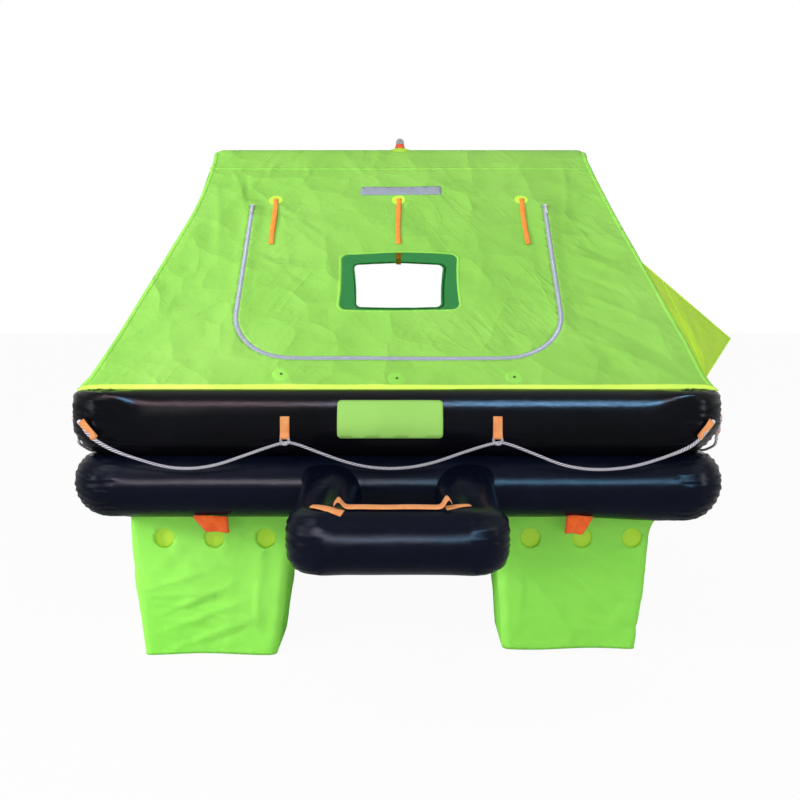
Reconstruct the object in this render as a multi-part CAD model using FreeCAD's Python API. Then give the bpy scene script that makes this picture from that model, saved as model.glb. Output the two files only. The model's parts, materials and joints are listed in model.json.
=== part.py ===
import FreeCAD, Part
import math
import os

# Inflated coastal liferaft: two stacked square buoyancy tubes, floor, canopy
# over one arch tube, zipped doors with windows at the front and the rear, a
# lookout hood, an inflated boarding ramp, water ballast bags and lifelines.
# Millimetres. +X is to the right and +Y away from the boarding side. The
# origin is the middle of the floor sheet's underside.

os.makedirs("parts", exist_ok=True)
V = FreeCAD.Vector
X_AXIS = V(1, 0, 0)
Y_AXIS = V(0, 1, 0)
Z_AXIS = V(0, 0, 1)
FAR = 2500.0

# Buoyancy tubes
raft_width = 1910.0
tube_r = 97.5
corner_cut = 21.0
bond_width = 75.0
floor_bond_width = 40.0
seat_gap = 0.3

# Floor
sheet_t = 2.0
mat_t = 25.0
mat_edge_gap = 5.0

# Canopy
ridge_height = 818.0
ridge_half = 700.0
hem_inset = 17.0
hip_sag = 25.0
skirt_drop = 60.0
wall = 3.0
arch_r = 70.0
ridge_seam_drop = 62.0

# Arch tube
arch_foot_inset = 132.0
arch_foot_sink = 40.0
arch_corner_r = 130.0
arch_corner_inset = 84.0

# Door and zip, measured up the slope from the tube's crest
zip_x = 509.0
zip_top = 840.0
zip_low = 124.0
zip_corner_r = 190.0
zip_tape_w = 14.0
coil_w = 6.0
coil_h = 2.5
window_half = 190.0
window_low = 333.0
window_high = 592.0
window_r = 25.0

# Zip sliders and their pull tabs
slider_len = 24.0
slider_w = 13.0
slider_h = 5.6
slider_gap = 0.3
slider_park = 14.0
lug_t = 2.0
lug_span = 7.0
lug_h = 6.0
lug_sink = 0.5
pin_r = 1.2
pin_clear = 0.05
tab_len = 42.0
tab_w = 10.0
tab_t = 1.8
tab_side_gap = 0.4
tab_eye_gap = 0.4

# Ties, reflective tape and snap discs
tie_x = 431.0
tie_w = 20.0
tie_top = 872.0
tie_low = 640.0
tie_t = 2.0
tie_patch_r = 24.0
tie_patch_t = 1.2
inner_tie_len = 235.0
tape_x = (-134.0, 150.0)
tape_v = (899.0, 944.0)
tape_t = 0.8
disc_r = 26.0
disc_t = 1.4
disc_stud_r = 4.3
disc_places = ((-347.0, 58.0), (-4.0, 44.0), (343.0, 47.0))

# Lookout hood and port on the right gable, heights above the tube's crest
hood_front_y = -448.0
hood_back_y = -120.0
hood_top = 404.0
hood_lip = (1090.0, -500.0, 134.0)
hood_lip_back_y = -170.0
hood_foot_y = -838.0
hood_foot_z = 10.0
port_y = (-392.0, -176.0)
port_z = (75.0, 325.0)
port_r = 40.0

# Sign panel on the upper tube
sign_x = (-173.0, 127.0)
sign_angles = (-20.0, 47.0)
sign_t = 2.0
sign_r = 16.0

# Boarding ramp
ramp_r = 78.0
ramp_leg_x = 190.0
ramp_reach = 554.0
ramp_root_drop = 10.0
ramp_bar_drop = 30.0
ramp_corner_cut = 36.0
ramp_root_sink = 40.0
strap_x = (-203.0, 163.0)
strap_w = 25.0
strap_t = 3.0
strap_rise = 9.0
strap_end = 34.0

# Water ballast bags
bag_top_x = (306.0, 802.0)
bag_foot_x = (350.0, 755.0)
bag_top_y = (510.0, 810.0)
bag_foot_y = (540.0, 800.0)
bag_depth = 437.0
bag_hole_r = 30.0
bag_hole_x = (399.0, 555.0, 706.0)
bag_hole_drop = 80.0
bag_hole_reach = 30.0
weight_size = (210.0, 45.0, 14.0)

# Webbing loops under the lower tube: centre and width along X
under_loops = ((-545.0, 103.0), (525.0, 80.0))
loop_strap_w = 25.0
loop_strap_t = 2.5
loop_out = 45.0
loop_drop = 54.0
loop_round = 0.6

# Lifeline: rope, its tabs and its ends
rope_r = 5.0
splice_r = 6.6
tab_band_w = 27.0
tab_band_t = 2.5
tab_eye_r = 8.0
tab_angles = (16.0, -17.5)
eye_angle = -19.0
corner_tab_s = 862.0
front_tab_s = (-321.0, 282.0)
side_tab_s = (-300.0, 300.0)
stopper_r = 10.0
stopper_len = 16.0
splice_lead = 20.0
splice_bend_r = 40.0
splice_in = 30.0

# The rope's route along the front: distance along the side and height
FRONT_ROUTE = [
    (-772, 197), (-690, 168), (-606, 156), (-520, 166), (-436, 196),
    (-353, 242), (-289, 242), (-214, 200), (-136, 172), (-58, 158),
    (22, 159), (100, 174), (176, 202), (250, 242), (314, 242),
    (392, 198), (470, 166), (552, 154), (634, 158), (706, 173), (772, 197),
]

# The same for the two sides and the rear
SIDE_ROUTE = [
    (-772, 197), (-690, 167), (-602, 156), (-512, 165), (-420, 196),
    (-332, 242), (-268, 242), (-188, 197), (-112, 170), (-34, 157),
    (44, 158), (120, 172), (194, 199), (268, 242), (332, 242),
    (414, 198), (496, 167), (584, 155), (660, 160), (720, 176), (772, 197),
]

# Lamps
lamp_x = 5.0
lamp_patch_r = 40.0
lamp_patch_h = 6.0
lamp_base_r = 19.0
lamp_base_h = 15.0
lamp_dome_r = 15.0
lamp_dome_h = 22.0
inner_lamp_len = 60.0
inner_lamp_r = 14.0

# Valves
valve_x = 260.0
valve_body_r = 19.0
valve_body_h = 12.0
valve_neck_r = 12.0
valve_neck_h = 8.0
cap_r = 15.0
cap_h = 11.0
cap_clear = 0.3
cap_grips = 12
grip_r = 2.4
grip_out = 1.2
relief_r = 21.0
relief_h = 9.0
inlet_x = -400.0
inlet_r = 15.0
inlet_h = 16.0

# Gas cylinder on the rear of the lower tube
cylinder_r = 57.0
cylinder_len = 360.0
cylinder_neck_r = 16.0
cylinder_neck_h = 26.0
cylinder_strap_w = 40.0
cylinder_strap_t = 2.5
cylinder_strap_x = 105.0
strap_sink = 0.5
strap_angle = 32.0
head_size = (46.0, 40.0, 44.0)
head_chamfer = 5.0
outlet_r = 7.0
outlet_len = 12.0

# Places that follow from the driving dimensions
half = raft_width / 2 - tube_r
hem_half = raft_width / 2 - hem_inset
arch_foot_x = hem_half - arch_foot_inset
bond_h = math.sqrt(tube_r ** 2 - (bond_width / 2) ** 2)
floor_h = math.sqrt(tube_r ** 2 - (floor_bond_width / 2) ** 2)
lower_z = sheet_t + floor_h
upper_z = lower_z + 2 * bond_h
crest_z = upper_z + tube_r
base_z = crest_z + seat_gap
ridge_r = arch_r + wall + seat_gap
ridge_z = base_z + ridge_height
ridge_c = ridge_z - ridge_r
run_c = math.hypot(half, ridge_c - base_z)
slope = math.atan2(ridge_c - base_z, half) + math.asin(ridge_r / run_c)


def arc(a, b, c):
    return Part.Arc(a, b, c).toShape()


def line(a, b):
    return Part.LineSegment(a, b).toShape()


def polar(radius, degrees):
    a = math.radians(degrees)
    return radius * math.cos(a), radius * math.sin(a)


def prism(points, travel):
    return Part.Face(Part.makePolygon(points + points[:1])).extrude(travel)


def round_rect(x0, x1, y0, y1, radius):
    """Face with rounded corners in the XY plane."""
    k = radius * (1 - math.sqrt(0.5))
    corners = [
        (V(x1 - radius, y0, 0), V(x1 - k, y0 + k, 0), V(x1, y0 + radius, 0)),
        (V(x1, y1 - radius, 0), V(x1 - k, y1 - k, 0), V(x1 - radius, y1, 0)),
        (V(x0 + radius, y1, 0), V(x0 + k, y1 - k, 0), V(x0, y1 - radius, 0)),
        (V(x0, y0 + radius, 0), V(x0 + k, y0 + k, 0), V(x0 + radius, y0, 0)),
    ]
    edges = []
    for i, corner in enumerate(corners):
        edges.append(arc(*corner))
        edges.append(line(corner[2], corners[(i + 1) % 4][0]))
    return Part.Face(Part.Wire(edges))


def section(radius, top=None, bottom=None):
    """Tube section in the YZ plane with a flat band at the top or bottom."""
    if bottom is None:
        return Part.Face(Part.Wire([Part.makeCircle(radius, V(0, 0, 0), X_AXIS)]))
    low_y = math.sqrt(radius ** 2 - bottom ** 2)
    bl, br = V(0, -low_y, -bottom), V(0, low_y, -bottom)
    if top is None:
        return Part.Face(Part.Wire([line(bl, br), arc(br, V(0, 0, radius), bl)]))
    high_y = math.sqrt(radius ** 2 - top ** 2)
    tl, tr = V(0, -high_y, top), V(0, high_y, top)
    return Part.Face(Part.Wire([line(bl, br), arc(br, V(0, radius, 0), tr),
                                line(tr, tl), arc(tl, V(0, -radius, 0), bl)]))


def mitred(face, points, closed, size):
    """Straight tubes of one section that meet at mitred joints."""
    count = len(points)
    runs = count if closed else count - 1
    whole = None
    for i in range(runs):
        a, b = points[i], points[(i + 1) % count]
        along = (b - a).normalize()
        piece = face.copy()
        piece.Placement = FreeCAD.Placement(a - along * size, aim(along))
        piece = piece.extrude(along * ((b - a).Length + 2 * size))
        ends = ((a, points[i - 1], -1), (b, points[(i + 2) % count], 1))
        for at, beyond, sign in ends:
            if not closed and (at is points[0] or at is points[-1]):
                normal = along
            else:
                other = (beyond - at).normalize() * sign
                normal = (along + other).normalize()
            piece = piece.cut(Part.makeCylinder(4 * size, 4 * size, at,
                                                normal * sign))
        whole = piece if whole is None else whole.fuse(piece)
    return whole


def aim(along):
    """Turn a section drawn in the YZ plane to face along a run."""
    yaw = math.degrees(math.atan2(along.y, along.x))
    pitch = -math.degrees(math.asin(along.z))
    return FreeCAD.Rotation(yaw, pitch, 0)


def ring(face, z):
    """A section taken round the raft's square with its cut corners."""
    e = half - corner_cut
    points = [V(-e, -half, z), V(e, -half, z), V(half, -e, z), V(half, e, z),
              V(e, half, z), V(-e, half, z), V(-half, e, z), V(-half, -e, z)]
    return mitred(face, points, True, tube_r)


def tube_path(points, radius_of=None):
    """Straight runs joined by tangent arcs. Returns the wire and the radii."""
    edges = []
    radii = []
    at = points[0]
    for i in range(1, len(points) - 1):
        back = points[i - 1] - points[i]
        ahead = points[i + 1] - points[i]
        shorter = min(back.Length, ahead.Length)
        turn = math.pi - back.getAngle(ahead)
        reach = 0.45 * shorter
        if radius_of:
            reach = radius_of * math.tan(turn / 2)
        back.normalize()
        ahead.normalize()
        a = points[i] + back * reach
        b = points[i] + ahead * reach
        radius = reach / math.tan(turn / 2)
        bisector = (back + ahead).normalize()
        depth = radius / math.cos(turn / 2) - radius
        edges.append(line(at, a))
        edges.append(arc(a, points[i] + bisector * depth, b))
        radii.append(radius)
        at = b
    edges.append(line(at, points[-1]))
    return Part.Wire(edges), radii


def bent_tube(points, radius, radius_of=None):
    path, radii = tube_path(points, radius_of)
    first = (points[1] - points[0]).normalize()
    circle = Part.Wire([Part.makeCircle(radius, points[0], first)])
    tube = path.makePipeShell([circle], True, True)
    expected = math.pi * radius ** 2 * path.Length
    return tube, path.Length, min(radii), tube.Volume / expected


def on_slope(shape):
    """Move a shape drawn flat (x, up the slope, outward) onto the front."""
    moved = shape.copy()
    moved.rotate(V(0, 0, 0), X_AXIS, math.degrees(slope))
    moved.translate(V(0, -half, base_z))
    return moved


def domed(radius, at, along):
    """A round end built from frustums, with its flat side at a point."""
    dome = None
    r0, h0 = radius, 0.0
    for degrees in (30, 60, 80):
        r1, h1 = polar(radius, degrees)
        ring_piece = Part.makeCone(r0, r1, h1 - h0, at + along * h0, along)
        dome = ring_piece if dome is None else dome.fuse(ring_piece)
        r0, h0 = r1, h1
    return dome


def turned(shape, degrees):
    moved = shape.copy()
    moved.rotate(V(0, 0, 0), Z_AXIS, degrees)
    return moved


def save(name, shape):
    if not shape.isValid() or not shape.Solids:
        print("check", name, shape.isValid(), len(shape.Solids))
    shape.exportStep("parts/" + name + ".step")


def save_pair(name, shape):
    """Save a front piece and the same piece turned round for the rear."""
    save(name + "_front", shape)
    save(name + "_rear", turned(shape, 180))


# Buoyancy tubes
lower_tube = ring(section(tube_r, bond_h, floor_h), lower_z)
upper_tube = ring(section(tube_r, None, bond_h), upper_z)
lower_keep = ring(section(tube_r + seat_gap), lower_z)
upper_keep = ring(section(tube_r + seat_gap), upper_z)
save("lower_tube", lower_tube)
save("upper_tube", upper_tube)

# Floor sheet glued under the lower tube, and the insulating mat on it
sheet_half = half + floor_bond_width / 2
floor_sheet = prism([V(-sheet_half, -sheet_half + corner_cut, 0),
                     V(-sheet_half + corner_cut, -sheet_half, 0),
                     V(sheet_half - corner_cut, -sheet_half, 0),
                     V(sheet_half, -sheet_half + corner_cut, 0),
                     V(sheet_half, sheet_half - corner_cut, 0),
                     V(sheet_half - corner_cut, sheet_half, 0),
                     V(-sheet_half + corner_cut, sheet_half, 0),
                     V(-sheet_half, sheet_half - corner_cut, 0)],
                    V(0, 0, sheet_t))
save("floor_sheet", floor_sheet)
mat_reach = math.sqrt(tube_r ** 2 - (lower_z - sheet_t - mat_t) ** 2)
mat_half = half - mat_reach - mat_edge_gap
mat_outline = round_rect(-mat_half, mat_half, -mat_half, mat_half, corner_cut)
floor_mat = mat_outline.extrude(V(0, 0, mat_t))
floor_mat.translate(V(0, 0, sheet_t))
save("floor_mat", floor_mat)


def hip_solid(inset):
    """The canopy's front outline, with its hollow hips, taken along Y."""
    x0 = hem_half - inset
    x1 = ridge_half - inset
    mid_x = (x0 + x1) / 2 - hip_sag
    mid_z = base_z + ridge_height / 2
    low = base_z - skirt_drop
    high = ridge_z + 1
    foot_r, base_r, top_r = V(x0, 0, low), V(x0, 0, base_z), V(x1, 0, high)
    foot_l, base_l, top_l = V(-x0, 0, low), V(-x0, 0, base_z), V(-x1, 0, high)
    edges = [line(foot_l, foot_r), line(foot_r, base_r),
             arc(base_r, V(mid_x, 0, mid_z), top_r), line(top_r, top_l),
             arc(top_l, V(-mid_x, 0, mid_z), base_l), line(base_l, foot_l)]
    face = Part.Face(Part.Wire(edges))
    face.translate(V(0, -FAR / 2, 0))
    return face.extrude(V(0, FAR, 0))


def slope_solid(inset):
    """The canopy's side outline: two slopes over the round ridge, along X."""
    r = ridge_r - inset
    ty = -r * math.sin(slope)
    tz = ridge_c + r * math.cos(slope)
    base_y = ty - (tz - base_z) / math.tan(slope)
    low = base_z - skirt_drop
    pts = [V(0, base_y, low), V(0, base_y, base_z), V(0, ty, tz)]
    far = [V(0, -p.y, p.z) for p in pts]
    edges = [line(far[0], pts[0]), line(pts[0], pts[1]), line(pts[1], pts[2]),
             arc(pts[2], V(0, 0, ridge_c + r), far[2]),
             line(far[2], far[1]), line(far[1], far[0])]
    face = Part.Face(Part.Wire(edges))
    face.translate(V(-FAR / 2, 0, 0))
    return face.extrude(V(FAR, 0, 0))


# Canopy shell: gables outside, and one bent sheet between them
outer = hip_solid(0).common(slope_solid(0))
hip_inner = hip_solid(wall)
gables = outer.cut(hip_inner).cut(upper_keep).Solids
sheet = outer.common(hip_inner).cut(slope_solid(wall)).cut(upper_keep)


def biggest(shape, test):
    return max((s for s in shape.Solids if test(s)), key=lambda s: s.Volume)


seam_z = ridge_z - ridge_seam_drop
above = Part.makeBox(FAR, FAR, FAR, V(-FAR / 2, -FAR / 2, seam_z))
canopy_ridge = sheet.common(above)
slopes = sheet.cut(above)
front_slope = biggest(slopes, lambda s: s.CenterOfMass.y < 0)
save("canopy_ridge", canopy_ridge)


def door_outline(grow, top):
    """The door's U, larger by grow, drawn flat and made a thick block."""
    x = zip_x + grow
    low = zip_low - grow
    r = zip_corner_r + grow
    k = r * (1 - math.sqrt(0.5))
    pts = [V(-x, top, 0), V(-x, low + r, 0), V(-x + k, low + k, 0),
           V(-x + r, low, 0), V(x - r, low, 0), V(x - k, low + k, 0),
           V(x, low + r, 0), V(x, top, 0)]
    edges = [line(pts[0], pts[1]), arc(pts[1], pts[2], pts[3]),
             line(pts[3], pts[4]), arc(pts[4], pts[5], pts[6]),
             line(pts[6], pts[7]), line(pts[7], pts[0])]
    return Part.Face(Part.Wire(edges))


def thick(face, low, high):
    placed = face.copy()
    placed.translate(V(0, 0, low))
    return on_slope(placed.extrude(V(0, 0, high - low)))


# Door, zip and window in the front slope, repeated at the rear
tape_out = thick(door_outline(zip_tape_w / 2, zip_top), -wall * 3, wall * 3)
tape_in = thick(door_outline(-zip_tape_w / 2, zip_top), -wall * 3, wall * 3)
coil_out = thick(door_outline(coil_w / 2, zip_top), -wall / 2, coil_h)
coil_in = thick(door_outline(-coil_w / 2, zip_top), -wall, coil_h + 1)
window = thick(round_rect(-window_half, window_half, window_low, window_high,
                          window_r), -wall * 3, wall * 3)
canopy_front = front_slope.cut(tape_out)
door = front_slope.common(tape_in).cut(window)
zip_tape = front_slope.common(tape_out).cut(tape_in)
zip_band = zip_tape.fuse(coil_out.cut(coil_in))
save_pair("canopy", canopy_front)
save_pair("door", door)
save_pair("zip", zip_band)


def slider():
    """Slider over the coil, with two lugs and a pin for its tab."""
    groove = coil_w / 2 + slider_gap
    body = round_rect(-slider_w / 2, slider_w / 2, -slider_len / 2,
                      slider_len / 2, slider_w / 3)
    body = body.extrude(V(0, 0, slider_h))
    body.translate(V(0, 0, slider_gap))
    slot = Part.makeBox(2 * groove, 2 * slider_len, coil_h + slider_gap,
                        V(-groove, -slider_len, 0))
    body = body.cut(slot)
    top = slider_gap + slider_h
    for side in (-1, 1):
        x = side * (lug_span / 2 + lug_t / 2) - lug_t / 2
        lug = Part.makeBox(lug_t, lug_h, lug_h,
                           V(x, -lug_h / 2, top - lug_sink))
        body = body.fuse(lug)
    pin = Part.makeCylinder(pin_r, lug_span + 2 * lug_t,
                            V(-lug_span / 2 - lug_t, 0, top + lug_h / 2),
                            X_AXIS)
    return body.fuse(pin)


def pull_tab():
    """Tab with a round eye on the slider's pin, lying down the slope."""
    z = slider_gap + slider_h + lug_h / 2
    eye_r = lug_h / 2 - tab_eye_gap
    eye_w = lug_span - 2 * tab_side_gap
    eye = Part.makeCylinder(eye_r, eye_w, V(-eye_w / 2, 0, z), X_AXIS)
    neck = Part.makeBox(eye_w, slider_len / 2 + 2, tab_t,
                        V(-eye_w / 2, -slider_len / 2 - 2, z - tab_t / 2))
    plate = round_rect(-tab_w / 2, tab_w / 2, -tab_len, -slider_len / 2 - 1,
                       tab_w / 3).extrude(V(0, 0, tab_t))
    plate.translate(V(0, 0, z - tab_t / 2))
    hole = Part.makeCylinder(tab_w / 5, 10, V(0, -tab_len + tab_w / 2, z - 5))
    bore = Part.makeCylinder(pin_r + pin_clear, 4 * eye_w,
                             V(-2 * eye_w, 0, z), X_AXIS)
    return eye.fuse(neck).fuse(plate).cut(hole).cut(bore)


slider_v = zip_top - slider_park
for side, side_name in ((-1, "left"), (1, "right")):
    place = V(side * zip_x, slider_v, 0)
    slider_shape = slider()
    slider_shape.translate(place)
    tab_shape = pull_tab()
    tab_shape.translate(place)
    save_pair("zip_slider_" + side_name, on_slope(slider_shape))
    save_pair("zip_pull_" + side_name, on_slope(tab_shape))

# Roll-up ties: one half outside the door's top, the other hanging inside
ties = []
for x in (-tie_x, 0, tie_x):
    strap = round_rect(x - tie_w / 2, x + tie_w / 2, tie_low, tie_top, 2)
    disc = Part.Face(Part.Wire([Part.makeCircle(tie_patch_r,
                                                V(x, tie_top, 0), Z_AXIS)]))
    outside = thick(strap, 0, tie_t).fuse(thick(disc, 0, tie_patch_t))
    ties.append(outside)
    hang_y = -half + tie_top * math.cos(slope) + wall / math.sin(slope)
    hang_z = base_z + tie_top * math.sin(slope)
    inside = Part.makeBox(tie_w, tie_t, inner_tie_len,
                          V(x - tie_w / 2, hang_y, hang_z - inner_tie_len))
    ties.append(inside)
save_pair("door_ties", Part.makeCompound(ties))

tape = thick(round_rect(tape_x[0], tape_x[1], tape_v[0], tape_v[1], 4),
             0, tape_t)
save_pair("reflective_tape", tape)

discs = []
for x, v in disc_places:
    face = Part.Face(Part.Wire([Part.makeCircle(disc_r, V(x, v, 0), Z_AXIS)]))
    stud = Part.makeCylinder(disc_stud_r, disc_t * 2, V(x, v, 0))
    discs.append(thick(face, 0, disc_t).fuse(on_slope(stud)))
save("snap_discs", Part.makeCompound(discs))


def panel(points, inward):
    """A flat fabric panel that thickens to one side of its outline."""
    return prism(points, inward.normalize() * wall)


# Lookout hood: roof, two cheeks, open below its lip and to the gable
gable_keep = hip_solid(-seat_gap).common(slope_solid(-seat_gap))
sink = 40.0
lip_x, lip_y, lip_z = hood_lip
lip_z += base_z
top_x = (hem_half + ridge_half) / 2 - hip_sag - sink
top_a = V(top_x, hood_front_y, base_z + hood_top)
top_b = V(top_x, hood_back_y, base_z + hood_top)
lip_a = V(lip_x, lip_y, lip_z)
lip_b = V(lip_x, hood_lip_back_y, lip_z)
foot_a = V(hem_half - sink, hood_foot_y, base_z + hood_foot_z)
foot_b = V(hem_half - sink, hood_back_y, base_z + hood_foot_z)
inside_point = (top_a + top_b + lip_a + lip_b + foot_a + foot_b) * (1 / 6)


def inward(points):
    normal = (points[1] - points[0]).cross(points[2] - points[0])
    return normal if normal.dot(inside_point - points[0]) > 0 else normal * -1


hood = None
for outline in ([top_a, top_b, lip_b, lip_a], [top_a, lip_a, foot_a],
                [top_b, lip_b, foot_b]):
    piece = panel(outline, inward(outline))
    hood = piece if hood is None else hood.fuse(piece)
hood = hood.cut(gable_keep).cut(upper_keep)
save("lookout_hood", biggest(hood, lambda s: True))

port = round_rect(port_y[0], port_y[1], base_z + port_z[0],
                  base_z + port_z[1], port_r)
port.rotate(V(0, 0, 0), V(1, 1, 1), 120)
port = port.extrude(V(FAR / 2, 0, 0))
left_gable = [g for g in gables if g.CenterOfMass.x < 0]
right_gable = [g for g in gables if g.CenterOfMass.x > 0]
save("gable_left", max(left_gable, key=lambda s: s.Volume))
save("gable_right", max(right_gable, key=lambda s: s.Volume).cut(port))

# Arch tube that carries the ridge
arch_z = ridge_c
arch_top_x = ridge_half - arch_corner_inset
arch_pts = [V(-arch_foot_x, 0, crest_z - arch_foot_sink),
            V(-arch_top_x, 0, arch_z), V(arch_top_x, 0, arch_z),
            V(arch_foot_x, 0, crest_z - arch_foot_sink)]
arch_tube = bent_tube(arch_pts, arch_r, arch_corner_r)[0].cut(upper_keep)
save("arch_tube", biggest(arch_tube, lambda s: True))

# Sign panel wrapped on the front of the upper tube
sign_keep = ring(section(tube_r + seat_gap + sign_t), upper_z).cut(upper_keep)
sign_low = upper_z + polar(tube_r, sign_angles[0])[1]
sign_high = upper_z + polar(tube_r, sign_angles[1])[1]
sign_face = round_rect(sign_x[0], sign_x[1], sign_low, sign_high, sign_r)
sign_face.rotate(V(0, 0, 0), X_AXIS, 90)
sign_face.translate(V(0, -half - tube_r / 4, 0))
save("sign_panel", sign_keep.common(sign_face.extrude(V(0, -FAR / 2, 0))))

# Boarding ramp: one U of tube glued to the front of the lower tube
root_y = -half - tube_r + ramp_root_sink
bar_y = -half - ramp_reach
root_z = lower_z - ramp_root_drop
bar_z = lower_z - ramp_bar_drop
cut = ramp_corner_cut
leg = V(0, bar_y - root_y, bar_z - root_z).normalize()
near_l = V(-ramp_leg_x, bar_y, bar_z) - leg * cut
near_r = V(ramp_leg_x, bar_y, bar_z) - leg * cut
ramp_pts = [V(-ramp_leg_x, root_y, root_z), near_l,
            V(-ramp_leg_x + cut, bar_y, bar_z),
            V(ramp_leg_x - cut, bar_y, bar_z), near_r,
            V(ramp_leg_x, root_y, root_z)]
ramp = mitred(section(ramp_r), ramp_pts, False, ramp_r)
ramp = ramp.cut(lower_keep).cut(upper_keep)
save("ramp_tube", biggest(ramp, lambda s: True))

# Grab strap on top of the ramp's bar
x0, x1 = strap_x
top = bar_z + ramp_r + seat_gap


def strap_outline(offset):
    z = top + offset
    return [V(x0, 0, z), V(x0 + strap_end, 0, z),
            V(x0 + 1.5 * strap_end, 0, z + strap_rise),
            V(x1 - 1.5 * strap_end, 0, z + strap_rise),
            V(x1 - strap_end, 0, z), V(x1, 0, z)]


ramp_strap = prism(strap_outline(0) + strap_outline(strap_t)[::-1],
                   V(0, strap_w, 0))
ramp_strap.translate(V(0, bar_y - strap_w / 2, 0))
ramp_keep = mitred(section(ramp_r + seat_gap), ramp_pts, False, ramp_r)
ramp_strap = biggest(ramp_strap.cut(ramp_keep), lambda s: True)
save("ramp_strap", ramp_strap)


def bag_block(inset, top_z, depth):
    """Tapered block of a bag's form, smaller by inset on its four sides."""
    wires = []
    for xs, ys, z in ((bag_top_x, bag_top_y, top_z),
                      (bag_foot_x, bag_foot_y, -depth)):
        a, b = xs[0] + inset, xs[1] - inset
        c, d = -ys[1] + inset, -ys[0] - inset
        wires.append(Part.makePolygon([V(a, c, z), V(b, c, z), V(b, d, z),
                                       V(a, d, z), V(a, c, z)]))
    return Part.makeLoft(wires, True, True)


# Ballast bags: open to the floor sheet, with three inlets in the outer face
bag = bag_block(0, 0, bag_depth).cut(bag_block(wall, 0, bag_depth - wall))
for x in bag_hole_x:
    bag = bag.cut(Part.makeCylinder(bag_hole_r, 2 * bag_hole_reach,
                                    V(x, -bag_top_y[1] - bag_hole_reach,
                                      -bag_hole_drop), Y_AXIS))
weight_x = (bag_foot_x[0] + bag_foot_x[1]) / 2
weight_y = -(bag_foot_y[0] + bag_foot_y[1]) / 2
weight = Part.makeBox(weight_size[0], weight_size[1], weight_size[2],
                      V(weight_x - weight_size[0] / 2,
                        weight_y - weight_size[1] / 2, wall - bag_depth))
mirror_x = lambda shape: shape.mirror(V(0, 0, 0), X_AXIS)
save_pair("ballast_bag_right", bag)
save_pair("ballast_bag_left", mirror_x(bag))
weights = []
for piece in (weight, mirror_x(weight)):
    weights.append(piece)
    weights.append(turned(piece, 180))
save("bag_weights", Part.makeCompound(weights))

# Webbing loops under the lower tube
loops = []
loop_y = -half - loop_out
for x, width in under_loops:
    r = width / 2
    low = lower_z - tube_r - loop_drop + (tube_r - math.sqrt(
        tube_r ** 2 - loop_out ** 2))
    block = round_rect(x - r, x + r, low, lower_z, r * loop_round)
    hole = round_rect(x - r + loop_strap_t, x + r - loop_strap_t,
                      low + loop_strap_t, lower_z, r * loop_round - loop_strap_t)
    strip = block.extrude(V(0, 0, loop_strap_w))
    strip = strip.cut(hole.extrude(V(0, 0, loop_strap_w)))
    strip.rotate(V(0, 0, 0), X_AXIS, 90)
    strip.translate(V(0, loop_y + loop_strap_w / 2, 0))
    strip = strip.cut(lower_keep)
    loops.append(min(strip.Solids, key=lambda s: s.CenterOfMass.z))
save("under_loops", Part.makeCompound(loops))

# Lifeline tabs: a band glued on the tube with an eye for the rope
eye_out = tube_r + seat_gap + tab_eye_r + tab_band_t
eye_y, eye_z = polar(eye_out, eye_angle)
rope_y = -half - eye_y
rope_z = upper_z + eye_z


def tube_band(r0, r1, angles, width):
    """A strip that hugs a tube's front, from one angle down to the other."""
    high, low = angles
    mid = (high + low) / 2
    at = lambda r, a: V(0, -polar(r, a)[0], polar(r, a)[1])
    edges = [arc(at(r0, high), at(r0, mid), at(r0, low)),
             line(at(r0, low), at(r1, low)),
             arc(at(r1, low), at(r1, mid), at(r1, high)),
             line(at(r1, high), at(r0, high))]
    return Part.Face(Part.Wire(edges)).extrude(V(width, 0, 0))


def lifeline_tab(s):
    low_r = tube_r + seat_gap
    band = tube_band(low_r, low_r + tab_band_t, tab_angles, tab_band_w)
    eye = Part.makeCylinder(tab_eye_r + tab_band_t, tab_band_w,
                            V(0, -eye_y, eye_z), X_AXIS)
    bore = Part.makeCylinder(tab_eye_r, tab_band_w * 3,
                             V(-tab_band_w, -eye_y, eye_z), X_AXIS)
    tab = band.fuse(eye).cut(bore)
    tab.translate(V(s - tab_band_w / 2, -half, upper_z))
    return tab.cut(upper_keep)


def rope_end(first, second, side):
    """The spliced end: from the rope through the corner tab to a stopper."""
    back = V(first[0] - second[0], 0, first[1] - second[1]).normalize()
    start = V(first[0], rope_y, first[1])
    reach = corner_tab_s + (tab_band_w + stopper_len) / 2
    end = V(side * reach, rope_y, rope_z)
    pts = [start, start + back * splice_lead,
           V(side * (corner_tab_s - splice_in), rope_y, rope_z), end]
    stopper = Part.makeCylinder(stopper_r, stopper_len,
                                end - X_AXIS * (stopper_len / 2), X_AXIS)
    return bent_tube(pts, splice_r, splice_bend_r)[0].fuse(stopper)


sides = (("front", 0, FRONT_ROUTE, front_tab_s),
         ("right", 90, SIDE_ROUTE, side_tab_s),
         ("rear", 180, SIDE_ROUTE, side_tab_s),
         ("left", 270, SIDE_ROUTE, side_tab_s))
tabs = []
splices = []
for name, degrees, route, tab_places in sides:
    pts = [V(s, rope_y, z) for s, z in route]
    rope, length, tightest, ratio = bent_tube(pts, rope_r)
    print("lifeline", name, "length %.0f tightest %.0f volume ratio %.4f"
          % (length, tightest, ratio))
    save("lifeline_" + name, turned(rope, degrees))
    for s in (-corner_tab_s,) + tab_places + (corner_tab_s,):
        tabs.append(turned(lifeline_tab(s), degrees))
    splices.append(turned(rope_end(route[0], route[1], -1), degrees))
    splices.append(turned(rope_end(route[-1], route[-2], 1), degrees))
save("lifeline_tabs", Part.makeCompound(tabs))
save("lifeline_splices", Part.makeCompound(splices))

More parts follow.
